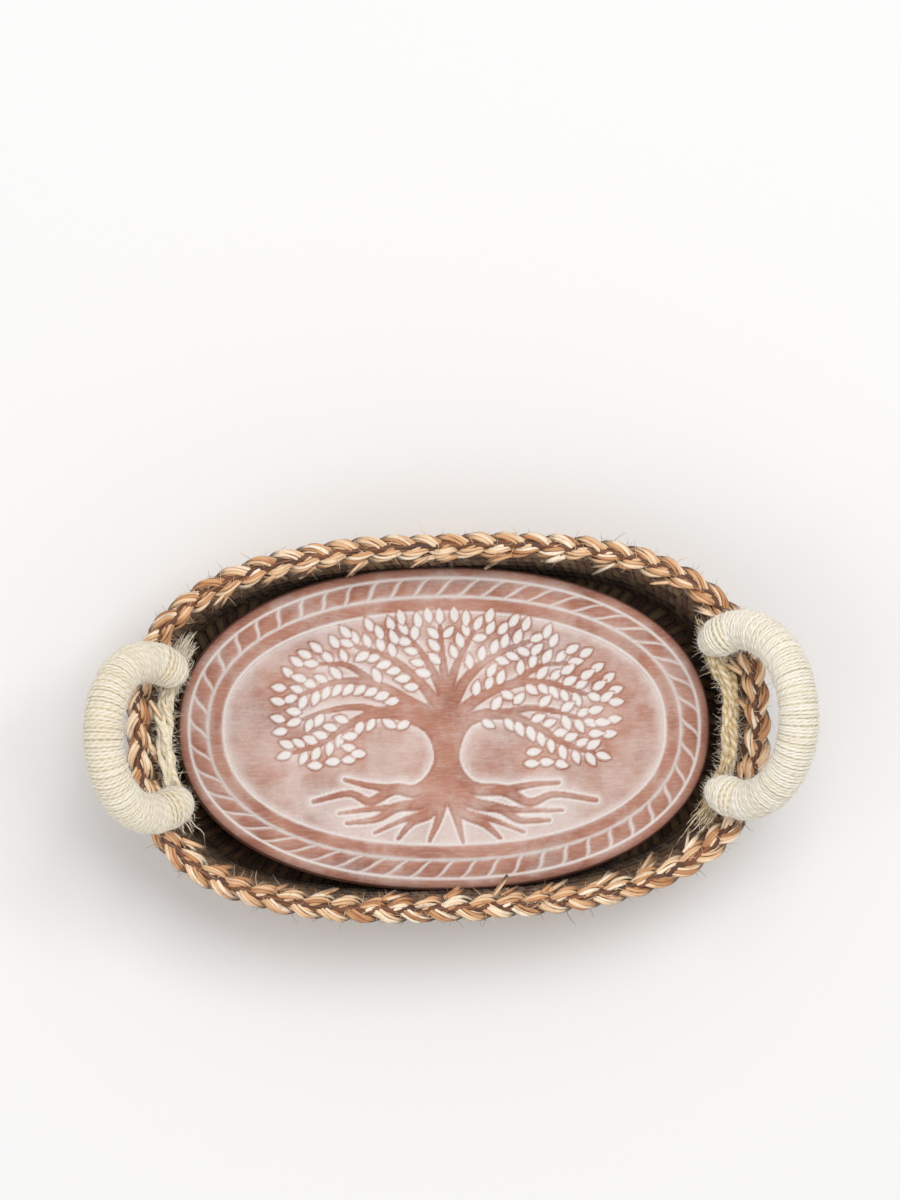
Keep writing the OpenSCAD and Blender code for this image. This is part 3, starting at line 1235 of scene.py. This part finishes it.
@dataclass(frozen=True)
class Fuzz:
    """Stray fibres that stand out of a piece."""

    length_mm: float
    thickness_mm: float
    density: float
    lie: float

    def grow(self, piece: bpy.types.Object, seed: int, material: bpy.types.Material) -> None:
        """Adds the fibres to a piece, and dresses both with a material.

        Args:
            piece: The piece that they grow on.
            seed: Seed of their places and leans.
            material: The piece's material.
        """
        fibre = stray_fibre(self.length_mm * MM, self.thickness_mm * MM)
        values = {
            "Fibre": fibre,
            "Fibres Per Square Metre": self.density,
            "Lie": self.lie,
            "Seed": seed,
            "Finish": material,
        }
        run_tree(piece, fuzz_tree(), values)
        drop(fibre)


# ---- The basket -------------------------------------------------------------


@dataclass
class Sizes:
    """Middle-line sizes of the basket, in millimetres."""

    end_centre: float = 64.91
    squareness: float = 2.75
    rim_half_width: float = 91.44
    rim_height: float = 76.1025
    wall_half_widths: tuple[float, ...] = (82.59, 84.16, 85.73, 87.30, 88.87, 90.44)
    wall_thickness: float = 8.0
    course_height: float = 11.6
    floor_courses: int = 6
    floor_pitch: float = 12.1817
    floor_thickness: float = 8.0
    floor_width: float = 12.0

    def ring(self, half_width: float, count: int) -> Array:
        """Middle line of a ring, anticlockwise from +X, in millimetres.

        Args:
            half_width: The ring's half width; its half length follows.
            count: How many points to return.

        Returns:
            Evenly spaced points in plan.
        """
        stadium = round_section(half_width, half_width, 1440)
        stadium[:, 0] += np.where(stadium[:, 0] >= 0, self.end_centre, -self.end_centre)
        full = superellipse(half_width + self.end_centre, half_width, self.squareness)
        share = (half_width / self.rim_half_width) ** 3
        plan = (1 - share) * even_steps(stadium, len(full)) + share * even_steps(full, len(full))
        return even_steps(plan, count)

    def level_ring(self, half_width: float, count: int, height: float) -> Array:
        """Middle line of a ring at a height, in millimetres."""
        return np.column_stack([self.ring(half_width, count), np.full(count, height)])


class Finish(Enum):
    """The materials that several pieces share."""

    RIM = "rim_grass"
    WALL = "wall_grass"
    FLOOR = "floor_grass"
    YARN = "yarn"
    ROPE = "frayed_rope"
    CORE = "rope_core"


FINISHES: dict[Finish, DryGrass | SpunJute] = {
    Finish.RIM: DryGrass(
        "dry_rim_grass",
        ("#43240F", "#A0643A", "#D29B69", "#EAC59B", "#F9E8CE"),
        grain_mm=0.85,
        grain_depth=0.8,
        stain="#8E4E2C",
        stain_amount=0.6,
    ),
    Finish.WALL: DryGrass(
        "dry_wall_grass",
        ("#5F3F24", "#8F6238", "#B68450", "#CFA26C", "#DDBB8B"),
        stain="#3B2413",
        roughness=0.62,
        painted_inner_shade=0.76,
    ),
    Finish.FLOOR: DryGrass(
        "dry_floor_grass",
        ("#5B3D24", "#8A6039", "#AE7F4E", "#C79C67", "#D8B684"),
        roughness=0.65,
        painted_inner_shade=0.72,
    ),
    Finish.YARN: SpunJute(
        "cream_jute_yarn",
        ("#A08658", "#CFBC94", "#E6DAC0", "#F1EADA", "#FAF6EC"),
        ply_depth=0.26,
    ),
    Finish.ROPE: SpunJute(
        "unwrapped_jute_rope",
        ("#76582F", "#A98A57", "#CDB180", "#E3CFA6", "#F3E8CF"),
        twist_mm=3.2,
    ),
    Finish.CORE: SpunJute(
        "laid_jute_core",
        ("#7D6543", "#AE946A", "#CDB98F", "#E2D2AD", "#EFE3C4"),
        twist_mm=3.6,
        by_place=True,
    ),
}


class Dresser:
    """Builds each shared material once and hands it out."""

    def __init__(self) -> None:
        """Starts with no material built."""
        self.made: dict[Finish, bpy.types.Material] = {}

    def get(self, finish: Finish) -> bpy.types.Material:
        """The material of a finish."""
        if finish not in self.made:
            self.made[finish] = FINISHES[finish].material()
        return self.made[finish]

    def dress(self, piece: bpy.types.Object, finish: Finish) -> None:
        """Gives a piece one finish, as its only material."""
        piece.data.materials.clear()
        piece.data.materials.append(self.get(finish))


@dataclass(frozen=True)
class CourseKind:
    """What the courses of the floor, or of the wall, have in common, in millimetres."""

    half_wide: float
    half_high: float
    pitch: float
    finish: Finish

    @property
    def upright(self) -> bool:
        """Whether the course stands higher than it is wide."""
        return self.half_high > self.half_wide


@dataclass
class CoiledCourses:
    """The floor and wall: rings of plaited grass, each bound with slanting strips."""

    sizes: Sizes
    dresser: Dresser
    wall_strip_pitch: float = 4.5
    floor_strip_pitch: float = 6.2
    strip_width: float = 4.9
    strip_thickness: float = 1.5
    strip_steps: int = 12
    core_inset: float = 0.75
    lean: float = math.radians(19)
    wander: float = 0.07
    fullness: float = 0.72

    def capsule(self, half_wide: float, half_high: float, count: int) -> Array:
        """Points round an upright or lying capsule, in (side, up)."""
        flat = round_section(1.0, 1.0, count)
        return np.sign(flat) * np.abs(flat) ** self.fullness * [half_wide, half_high]

    def strip(self, name: str, kind: CourseKind) -> bpy.types.Object:
        """Builds one strip bent round a course.

        Args:
            name: The helper object's name.
            kind: The course that it goes round.

        Returns:
            A closed, leaning band round the origin.
        """
        steps = self.strip_steps
        outline = even_steps(self.capsule(kind.half_wide, kind.half_high, 360), steps)
        along = outline[:, 1 if kind.upright else 0] * math.tan(self.lean)
        path = np.column_stack([along, outline]) * MM
        outward = outline / [kind.half_wide**2, kind.half_high**2]
        frames = frames_along(path, unit(np.column_stack([np.zeros(steps), outward])), True)
        half, thick = self.strip_width / 2 * MM, self.strip_thickness / 2 * MM
        narrow = 0.55 * half
        section = np.array([[half, -thick], [narrow, thick], [-narrow, thick], [-half, -thick]])
        shell = Shell()
        sweep(shell, path, *frames, section, 0.5, True)
        # Painted shade: the strip's inner half, inside the wall or on top of the floor, is marked
        # to be darkened.
        inner = shell.points[0][:, 1 if kind.upright else 2] > 0
        piece = shell.build(name, inside=inner.astype(float))
        piece.data.attributes.remove(piece.data.attributes["tone"])
        return piece

    def course(
        self,
        name: str,
        node: str,
        line: Array,
        strip: bpy.types.Object,
        kind: CourseKind,
        seed: int,
        closed: bool = True,
    ) -> bpy.types.Object:
        """Builds one ring, or the straight start of the floor.

        Args:
            name: The piece's name.
            node: The plain solid that the piece stands for.
            line: The course's middle line, in millimetres.
            strip: The bent strip that is repeated.
            kind: The course's section, distance between strips, and finish.
            seed: Seed of the strips' differences.
            closed: Whether the middle line is a loop.

        Returns:
            The finished piece, riding on the basket.
        """
        line = line * MM
        halves = (kind.half_wide - self.core_inset, kind.half_high - self.core_inset)
        section = self.capsule(*halves, 12) * MM
        shell = Shell()
        sweep(shell, line, *frames_along(line, UP, closed), section, 0.12, closed)
        # Painted shade: the whole core is marked at 0.8 to be darkened, where it shows between the
        # strips.
        piece = shell.build(name, inside=np.full(shell.count, 0.8))
        count = len(line)
        mesh = bpy.data.meshes.new(name + "_line")
        edges = [(i, (i + 1) % count) for i in range(count if closed else count - 1)]
        mesh.from_pydata(line.tolist(), edges, [])
        middle = show(name + "_line", mesh)
        values = {
            "Middle Line": middle,
            "Strip": strip,
            "Count": round(distances(line)[-1] / MM / kind.pitch),
            "Wander": self.wander,
            "Seed": seed,
            "Finish": self.dresser.get(kind.finish),
        }
        run_tree(piece, self.tree, values)
        drop(middle)
        rest_on_ground(piece)
        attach(piece, "basket")
        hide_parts(node)
        return piece

    def build(self) -> list[bpy.types.Object]:
        """Builds the whole coil, from the floor's start to the wall's last course."""
        self.tree = strip_tree()
        size = self.sizes
        half_thick = size.floor_thickness / 2
        lying = CourseKind(size.floor_width / 2, half_thick, self.floor_strip_pitch, Finish.FLOOR)
        upright = CourseKind(
            size.wall_thickness / 2, size.course_height / 2, self.wall_strip_pitch, Finish.WALL
        )
        flat, tall = self.strip("lying_strip", lying), self.strip("upright_strip", upright)
        reach = size.end_centre + 2
        start = np.linspace([-reach, 0, half_thick], [reach, 0, half_thick], 30)
        slim = replace(lying, half_wide=5.2)
        pieces = [self.course("floor_plait_start", "floor_core", start, flat, slim, 20, False)]
        for number in range(1, size.floor_courses + 1):
            line = size.level_ring(size.floor_pitch * number, 120 + 24 * number, half_thick)
            names = (f"floor_plait_{number}", f"floor_course_{number}")
            pieces.append(self.course(*names, line, flat, lying, 20 + number))
        for number, half_width in enumerate(size.wall_half_widths, 1):
            line = size.level_ring(half_width, 288, (number - 0.5) * size.course_height)
            names = (f"wall_plait_{number}", f"wall_course_{number}")
            pieces.append(self.course(*names, line, tall, upright, 40 + number))
        drop(flat)
        drop(tall)
        return pieces


@dataclass
class PlaitedRim:
    """The rim: three bundles of blades plaited round the top, with cut ends inside."""

    sizes: Sizes
    dresser: Dresser
    periods: int = 20
    sway: float = 3.8
    weave: float = 2.6
    blades: int = 6
    blade_twists: int = 20
    bundle: tuple[float, float] = (1.9, 1.3)
    blade_size: tuple[float, float] = (1.02, 0.85)
    blade_corners: int = 7
    core_drop: float = 1.3
    core_size: tuple[float, float] = (2.9, 5.0)
    rings: int = 440
    stubs: int = 30
    stub_inset: float = 5.4
    fuzz: Fuzz = Fuzz(7.0, 0.32, 15000.0, 1.2)

    def strands(self, shell: Shell) -> None:
        """Adds the plait's core and its three bundles to a shell.

        Args:
            shell: The shell that gets them.
        """
        chance = np.random.default_rng(5)
        middle = self.sizes.level_ring(self.sizes.rim_half_width, self.rings, self.sizes.rim_height)
        turn = np.arange(self.rings) * TAU / self.rings
        side, up = frames_along(middle, UP, True)
        out = -side if np.mean(np.sum(side * middle, axis=1)) < 0 else side
        core = (middle - self.core_drop * UP)[::2] * MM
        sweep(shell, core, side[::2], up[::2], round_section(*self.core_size, 10) * MM, 0.05, True)
        flat = round_section(1.0, 1.0, self.blade_corners)
        painted_underside_shade = smoothstep(0.35, -0.75, flat[:, 1])  # painted shade: a blade's lower side is darker
        wide, high = self.bundle
        for strand in range(3):
            phase = self.periods * turn + strand * TAU / 3
            wobble = 0.25 * np.sin(7 * turn + strand) + 0.2 * np.sin(17 * turn + 2 * strand)
            sway = (self.sway * np.sin(phase) + wobble)[:, None] * out
            path = middle + sway + (self.weave * np.sin(2 * phase))[:, None] * UP
            side, up = frames_along(path, UP, True)
            crossing = np.floor(2 * phase / TAU + 0.25).astype(int) % (2 * self.periods)
            for blade in range(self.blades):
                angle = self.blade_twists * turn + blade * TAU / self.blades
                angle = angle + chance.uniform(-0.3, 0.3)
                shift = (wide * np.cos(angle))[:, None] * side
                shift = shift + (high * np.sin(angle))[:, None] * up
                swell = 1 + 0.25 * np.sin(chance.integers(30, 90) * turn + chance.uniform(0, TAU))
                a, b = (flat * self.blade_size)[None].transpose(2, 0, 1) * swell[:, None]
                roll = 0.5 * np.sin(chance.integers(9, 30) * turn + chance.uniform(0, TAU))
                c, s = np.cos(roll)[:, None], np.sin(roll)[:, None]
                section = np.stack([a * c - b * s, a * s + b * c], -1)
                tones = chance.uniform(0.35, 1.0, 2 * self.periods)[crossing]
                shades = tones[:, None] * (1 - 0.75 * painted_underside_shade) - 0.12 * painted_underside_shade
                sweep(shell, (path + shift) * MM, side, up, section * MM, shades.ravel(), True)

    def cut_ends(self, shell: Shell) -> None:
        """Adds short bundles of cut blades along the inner side.

        Args:
            shell: The shell that gets them.
        """
        chance = np.random.default_rng(9)
        count = 720
        plan = self.sizes.ring(self.sizes.rim_half_width - self.stub_inset, count)
        t = np.linspace(0, 1, 5)[:, None]
        widths = np.array([1.0, 1.0, 0.95, 0.85, 0.5])[:, None, None]
        for place in (np.arange(self.stubs) + chance.uniform(-0.3, 0.3, self.stubs)) / self.stubs:
            index = int(place * count) % count
            ahead = unit(plan[(index + 6) % count] - plan[index - 6])
            inward = np.array([-ahead[1], ahead[0]])
            for _ in range(int(chance.integers(3, 6))):
                length = chance.uniform(7, 13)
                along = chance.uniform(0.35, 1.0)
                drop_mm = chance.uniform(1.0, 5.0)
                start = np.array([*plan[index], self.sizes.rim_height + chance.uniform(-1.0, 2.6)])
                start[:2] += ahead * chance.uniform(-2.2, 2.2)
                way = np.array([*(inward * chance.uniform(0.12, 0.5) + ahead * along), 0.0])
                path = start + unit(way) * length * t - drop_mm * UP * t**2
                section = round_section(chance.uniform(0.7, 1.3), 0.35, 6)[None] * widths * MM
                tone = chance.uniform(0.35, 1.0)
                sweep(shell, path * MM, *frames_along(path, UP, False), section, tone)

    def build(self) -> bpy.types.Object:
        """Builds the rim as one piece."""
        shell = Shell()
        self.strands(shell)
        self.cut_ends(shell)
        heights = np.concatenate(shell.points)[:, 2] / MM - self.sizes.rim_height
        # Painted shade: the plait and its cut ends are darkened from the top down into the weave,
        # and less so again on the underside.
        deep = 0.9 * smoothstep(1.5, -2.2, heights) * (1 - 0.75 * smoothstep(-2.4, -4.4, heights))
        piece = shell.build("plaited_rim", deep=deep)
        self.fuzz.grow(piece, 3, self.dresser.get(Finish.RIM))
        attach(piece, "basket")
        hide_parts("rim_braid")
        return piece


# ---- The handles ------------------------------------------------------------


class Side(Enum):
    """Which end of the basket a handle stands on."""

    LEFT = -1
    RIGHT = 1


@dataclass(frozen=True)
class Tuft:
    """One frayed end of the rope inside the rim."""

    place: float  # as a share of the angle where the grip crosses the rim
    least: float  # the least and the most angle that its fibres run on, in radians
    most: float
    fibres: int


@dataclass
class RopeHandle:
    """One handle: a rope wound with yarn, and its unwound ends inside the rim."""

    side: Side
    dresser: Dresser
    axis_x: float
    span: float
    leg: float
    crossing: float
    tufts: tuple[Tuft, ...]
    yarn_tone: float
    rope_tone: float
    axis_z: float = 93.1525
    rise: float = math.radians(54)
    tie_ring: float = 78.69
    tie_height: float = 73.3525
    tie_strands: int = 13
    end_centre: float = 64.91
    liner_radius: float = 9.2
    yarn_radius: float = 0.9
    yarn_pitch: float = 1.6
    steps_a_turn: int = 20
    tie_radius: float = 3.6
    strand_radius: float = 1.45
    tie_overrun: float = 1.12  # how far the rope runs on past the grip's crossings
    thin_end: float = 0.66  # thickness of the grip's ends, as a share of its middle
    yarn_fuzz: Fuzz = Fuzz(3.0, 0.14, 130000.0, 1.25)
    rope_fuzz: Fuzz = Fuzz(6.0, 0.2, 130000.0, 1.2)

    @property
    def body(self) -> str:
        """The name of the body that the handle swings with; the grip is not attached to it here."""
        return "handle_" + self.side.name.lower()

    def outwards(self, points: Array) -> Array:
        """Turns places with +X outwards into the basket's frame, in metres."""
        return points * np.array([self.side.value, 1, 1]) * MM

    def grip_line(self) -> tuple[Array, Array]:
        """The wound rope's middle line from the inside, over the rim and back.

        Returns:
            Points in millimetres with +X outwards, and the rope's thickness share.
        """
        half = self.span / 2
        way = np.array([math.cos(self.rise), 0, math.sin(self.rise)])
        foot = np.array([self.axis_x, 0, self.axis_z])
        arch = round_section(half, half, 40)[:21]
        bow = foot + way * self.leg + arch[:, :1] * np.array([0, 1, 0]) + arch[:, 1:] * way
        inner = foot + np.array(
            [
                [-11.2, half - 5.6, -17.5],
                [-9.6, half - 4.4, -9.0],
                [-5.2, half - 2.0, -2.4],
                [0.0, half, 1.0],
            ]
        )
        mirror = inner[::-1] * np.array([1, -1, 1])
        bow = bow[1:-1] if self.leg < 4 else bow  # a short leg leaves no room for the bow's ends
        line = even_steps(spline(np.vstack([inner, bow, mirror]), 400), 260, closed=False)
        ends = np.linspace(0, 1, len(line))
        near = np.minimum(ends, 1 - ends) * len(line)
        return line, self.thin_end + (1 - self.thin_end) * smoothstep(0, 20, near)

    def wound_rope(self) -> bpy.types.Object:
        """Builds the rope of the grip with its turns of yarn."""
        chance = np.random.default_rng(30 + self.side.value)
        line, share = self.grip_line()
        line = self.outwards(line)
        side, up = steady_frames(line)
        shell = Shell()
        liner = round_section(self.liner_radius * MM, self.liner_radius * MM, 20)
        sweep(shell, line, side, up, liner[None] * share[:, None, None], 0.0)
        run = distances(line)
        turns = int(run[-1] / MM / self.yarn_pitch)
        t = np.linspace(0.004, 0.996, turns * self.steps_a_turn)
        at = t * run[-1]
        angle = t * turns * TAU * self.side.value
        middle = rows_at(at, run, line)
        a, b = unit(rows_at(at, run, side)), unit(rows_at(at, run, up))
        loose = 0.35 * np.interp(t * turns, np.arange(turns + 1), chance.uniform(-1, 1, turns + 1))
        radius = (self.liner_radius + 0.15 + loose) * MM * np.interp(at, run, share)
        out = np.cos(angle)[:, None] * a + np.sin(angle)[:, None] * b
        slide = 0.25 * MM * np.sin(angle * 0.5 + 3 * np.sin(t * 40))
        along = unit(np.gradient(middle, axis=0))
        path = middle + radius[:, None] * out + slide[:, None] * along
        tones = np.clip(self.yarn_tone + chance.uniform(-0.08, 0.1, turns + 1), 0, 1)
        size = self.yarn_radius * MM * (1 + 0.12 * np.sin(t * turns * TAU * 0.37))
        corners = 6
        section = round_section(1.0, 1.0, corners)[None] * size[:, None, None]
        shades = np.repeat(tones[(t * turns).astype(int)], corners)
        sweep(shell, path, *frames_along(path, out, False), section, shades)
        name = self.side.name.lower()
        piece = shell.build(f"wound_grip_{name}")
        self.yarn_fuzz.grow(piece, 5 + self.side.value, self.dresser.get(Finish.YARN))
        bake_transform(piece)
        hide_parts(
            f"handle_{name}_wrap", f"handle_{name}_end_front", f"handle_{name}_end_back"
        )
        return piece

    def inner_rope(self) -> bpy.types.Object:
        """Builds the unwound rope inside the rim, with its frayed ends."""
        chance = np.random.default_rng(60 + self.side.value)
        shell = Shell()
        reach = self.crossing * self.tie_overrun
        angle = np.linspace(-reach, reach, 110)
        height = self.tie_height + 2.0 * np.sin(angle * 3) ** 2
        line = self.outwards(self.tie_place(angle, self.tie_ring, height))
        side, up = steady_frames(line)
        share = np.linspace(0, 1, len(line))
        for strand in range(self.tie_strands):
            far = self.tie_radius * MM * math.sqrt((strand + 0.5) / self.tie_strands)
            turn = strand * 2.4 + 3.2 * share * self.side.value
            turn = turn + 0.9 * np.sin(share * chance.uniform(6, 16) + chance.uniform(0, TAU))
            reach = far * (1 + 0.3 * np.sin(share * chance.uniform(8, 22) + chance.uniform(0, TAU)))
            shift = reach[:, None] * (np.cos(turn)[:, None] * side + np.sin(turn)[:, None] * up)
            swell = 1 + 0.2 * np.sin(share * chance.uniform(20, 50))
            thick = self.strand_radius * MM * swell
            section = round_section(1.0, 1.0, 7)[None] * thick[:, None, None]
            tone = float(np.clip(self.rope_tone + chance.uniform(-0.15, 0.15), 0, 1))
            sweep(shell, line + shift, side, up, section, tone)
        for tuft in self.tufts:
            self.fray(shell, tuft, chance)
        name = self.side.name.lower()
        piece = shell.build(f"inner_rope_{name}")
        self.rope_fuzz.grow(piece, 9 + self.side.value, self.dresser.get(Finish.ROPE))
        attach(piece, "basket")
        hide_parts(f"handle_{name}_tie")
        return piece

    def tie_place(self, angle: Array, ring: Array | float, height: Array) -> Array:
        """Places along the inside of the wall's end, in millimetres, with +X outwards.

        Args:
            angle: Angle round the end's centre.
            ring: Distance from that centre.
            height: Height above the ground.

        Returns:
            One row a place.
        """
        return np.stack(
            [self.end_centre + ring * np.cos(angle), ring * np.sin(angle), height], -1
        )

    def fray(self, shell: Shell, tuft: Tuft, chance: np.random.Generator) -> None:
        """Adds one frayed end.

        Args:
            shell: The shell that gets the fibres.
            tuft: Its place, spread and number of fibres.
            chance: Source of the fibres' differences.
        """
        base = tuft.place * self.crossing
        sign = 1.0 if tuft.place > 0 else -1.0
        widths = np.array([1, 1, 0.95, 0.9, 0.8, 0.65, 0.3])
        section = round_section(0.42 * MM, 0.2 * MM, 3)[None] * widths[:, None, None]
        t = np.linspace(0, 1, len(widths))
        for _ in range(tuft.fibres):
            angle = base + chance.normal(0, 0.05)
            around = angle + chance.uniform(tuft.least, tuft.most) * sign * t
            ring = self.tie_ring + chance.normal(0.8, 1.6) + chance.uniform(-1.0, 2.2) * t
            height = self.tie_height + chance.uniform(0, 7) + chance.uniform(-4, 6) * t - 4 * t**2
            line = self.tie_place(around, ring, height)
            line += np.cumsum(chance.normal(0, 0.55, line.shape), axis=0)
            line = self.outwards(line)
            tone = float(np.clip(self.rope_tone + chance.uniform(-0.2, 0.25), 0, 1))
            sweep(shell, line, *frames_along(line, UP, False), section, tone)

    def build(self) -> list[bpy.types.Object]:
        """Builds the wound grip, then the rope inside the rim."""
        return [self.wound_rope(), self.inner_rope()]


# ---- Studio -----------------------------------------------------------------


@dataclass
class Studio:
    """Pale floor, soft lights and the camera."""

    distance: float = 3.6
    lens: float = 213.0
    sensor: float = 36.0
    aim: tuple[float, float, float] = (0.0044, 0.0646, 0.06)
    lean_x: float = math.radians(-3.46)
    lean_y: float = math.radians(-2.11)
    roll: float = math.radians(2.15)

    def floor(self) -> None:
        """Lays a wide pale floor."""
        shell = Shell()
        corners = np.array([[-6, -6, 0], [6, -6, 0], [6, 6, 0], [-6, 6, 0]], float)
        shell.add(corners, np.array([[0, 1, 2, 3]]), corners[:, :2], 0.5)
        floor = shell.build("pale_floor")
        made, tree = new_material("pale_painted_floor")
        shader = tree.nodes["Principled BSDF"]
        shader.inputs["Base Color"].default_value = linear("#ECEBE9")
        shader.inputs["Roughness"].default_value = 0.9
        shader.inputs["Specular IOR Level"].default_value = 0.1
        floor.data.materials.append(made)

    def lamp(self, name: str, place: tuple[float, float, float], size: float, watts: float) -> None:
        """Hangs one square soft lamp, of a size in metres, that faces the basket.

        Args:
            name: The lamp's name.
            place: Where it hangs, in metres.
            size: Its side, in metres.
            watts: Its power.
        """
        light = bpy.data.lights.new(name, "AREA")
        light.size = size
        light.energy = watts
        lamp = show(name, light)
        lamp.location = place
        lamp.rotation_euler = (-Vector(place)).to_track_quat("-Z", "Y").to_euler()

    def camera(self) -> bpy.types.Object:
        """Hangs the camera above the basket, leaning and rolled a little."""
        data = bpy.data.cameras.new("camera")
        data.lens = self.lens
        data.sensor_width = self.sensor
        data.clip_end = 50
        back = Vector((math.tan(self.lean_x), math.tan(self.lean_y), 1.0)).normalized()
        right = (Vector((1, 0, 0)) - back * back.x).normalized()
        up = back.cross(right)
        c, s = math.cos(-self.roll), math.sin(-self.roll)
        axes = (right * c + up * s, up * c - right * s, back)
        matrix = Matrix(axes).transposed().to_4x4()
        matrix.translation = Vector(self.aim) + back * self.distance
        camera = show("camera", data)
        camera.matrix_world = matrix
        return camera

    def build(self) -> None:
        """Sets up the whole studio."""
        self.floor()
        self.lamp("key_lamp", (0.5, 0.7, 2.5), 1.4, 34.0)
        self.lamp("fill_lamp", (-1.2, -0.6, 2.2), 1.8, 12.0)
        world = bpy.data.worlds.new("white_room")
        world.use_nodes = True
        sky = world.node_tree.nodes["Background"]
        sky.inputs["Color"].default_value = linear("#FBFCFF")
        sky.inputs["Strength"].default_value = 0.62
        scene = bpy.context.scene
        scene.world = world
        scene.view_settings.view_transform = "Standard"
        bpy.context.scene.camera = self.camera()


def main() -> None:
    """Builds and dresses the whole bread warmer."""
    logging.basicConfig(level=logging.INFO, format="%(message)s")
    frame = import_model()
    sizes = Sizes()
    dresser = Dresser()
    pieces = [WarmingStone().build()]
    pieces += CoiledCourses(sizes, dresser).build()
    pieces.append(PlaitedRim(sizes, dresser).build())
    left = RopeHandle(
        Side.LEFT,
        dresser,
        axis_x=148.08,
        span=76,
        leg=7,
        crossing=math.radians(24.555),
        tufts=(Tuft(0.8, 0.05, 0.34, 230), Tuft(-0.9, 0.03, 0.2, 90)),
        yarn_tone=0.2,
        rope_tone=0.62,
    )
    right = RopeHandle(
        Side.RIGHT,
        dresser,
        axis_x=145.609,
        span=86,
        leg=2,
        crossing=math.radians(28.051),
        tufts=(Tuft(0.9, 0.02, 0.18, 110), Tuft(-0.85, 0.04, 0.3, 260)),
        yarn_tone=0.3,
        rope_tone=0.12,
    )
    pieces += left.build() + right.build()
    for name in ("handle_left_core", "handle_right_core"):
        dresser.dress(frame["nodes"][name], Finish.CORE)
    Studio().build()
    for piece in pieces:
        piece.data.calc_loop_triangles()
        LOG.info("%s: %d triangles", piece.name, len(piece.data.loop_triangles))


if __name__ == "__main__":
    main()
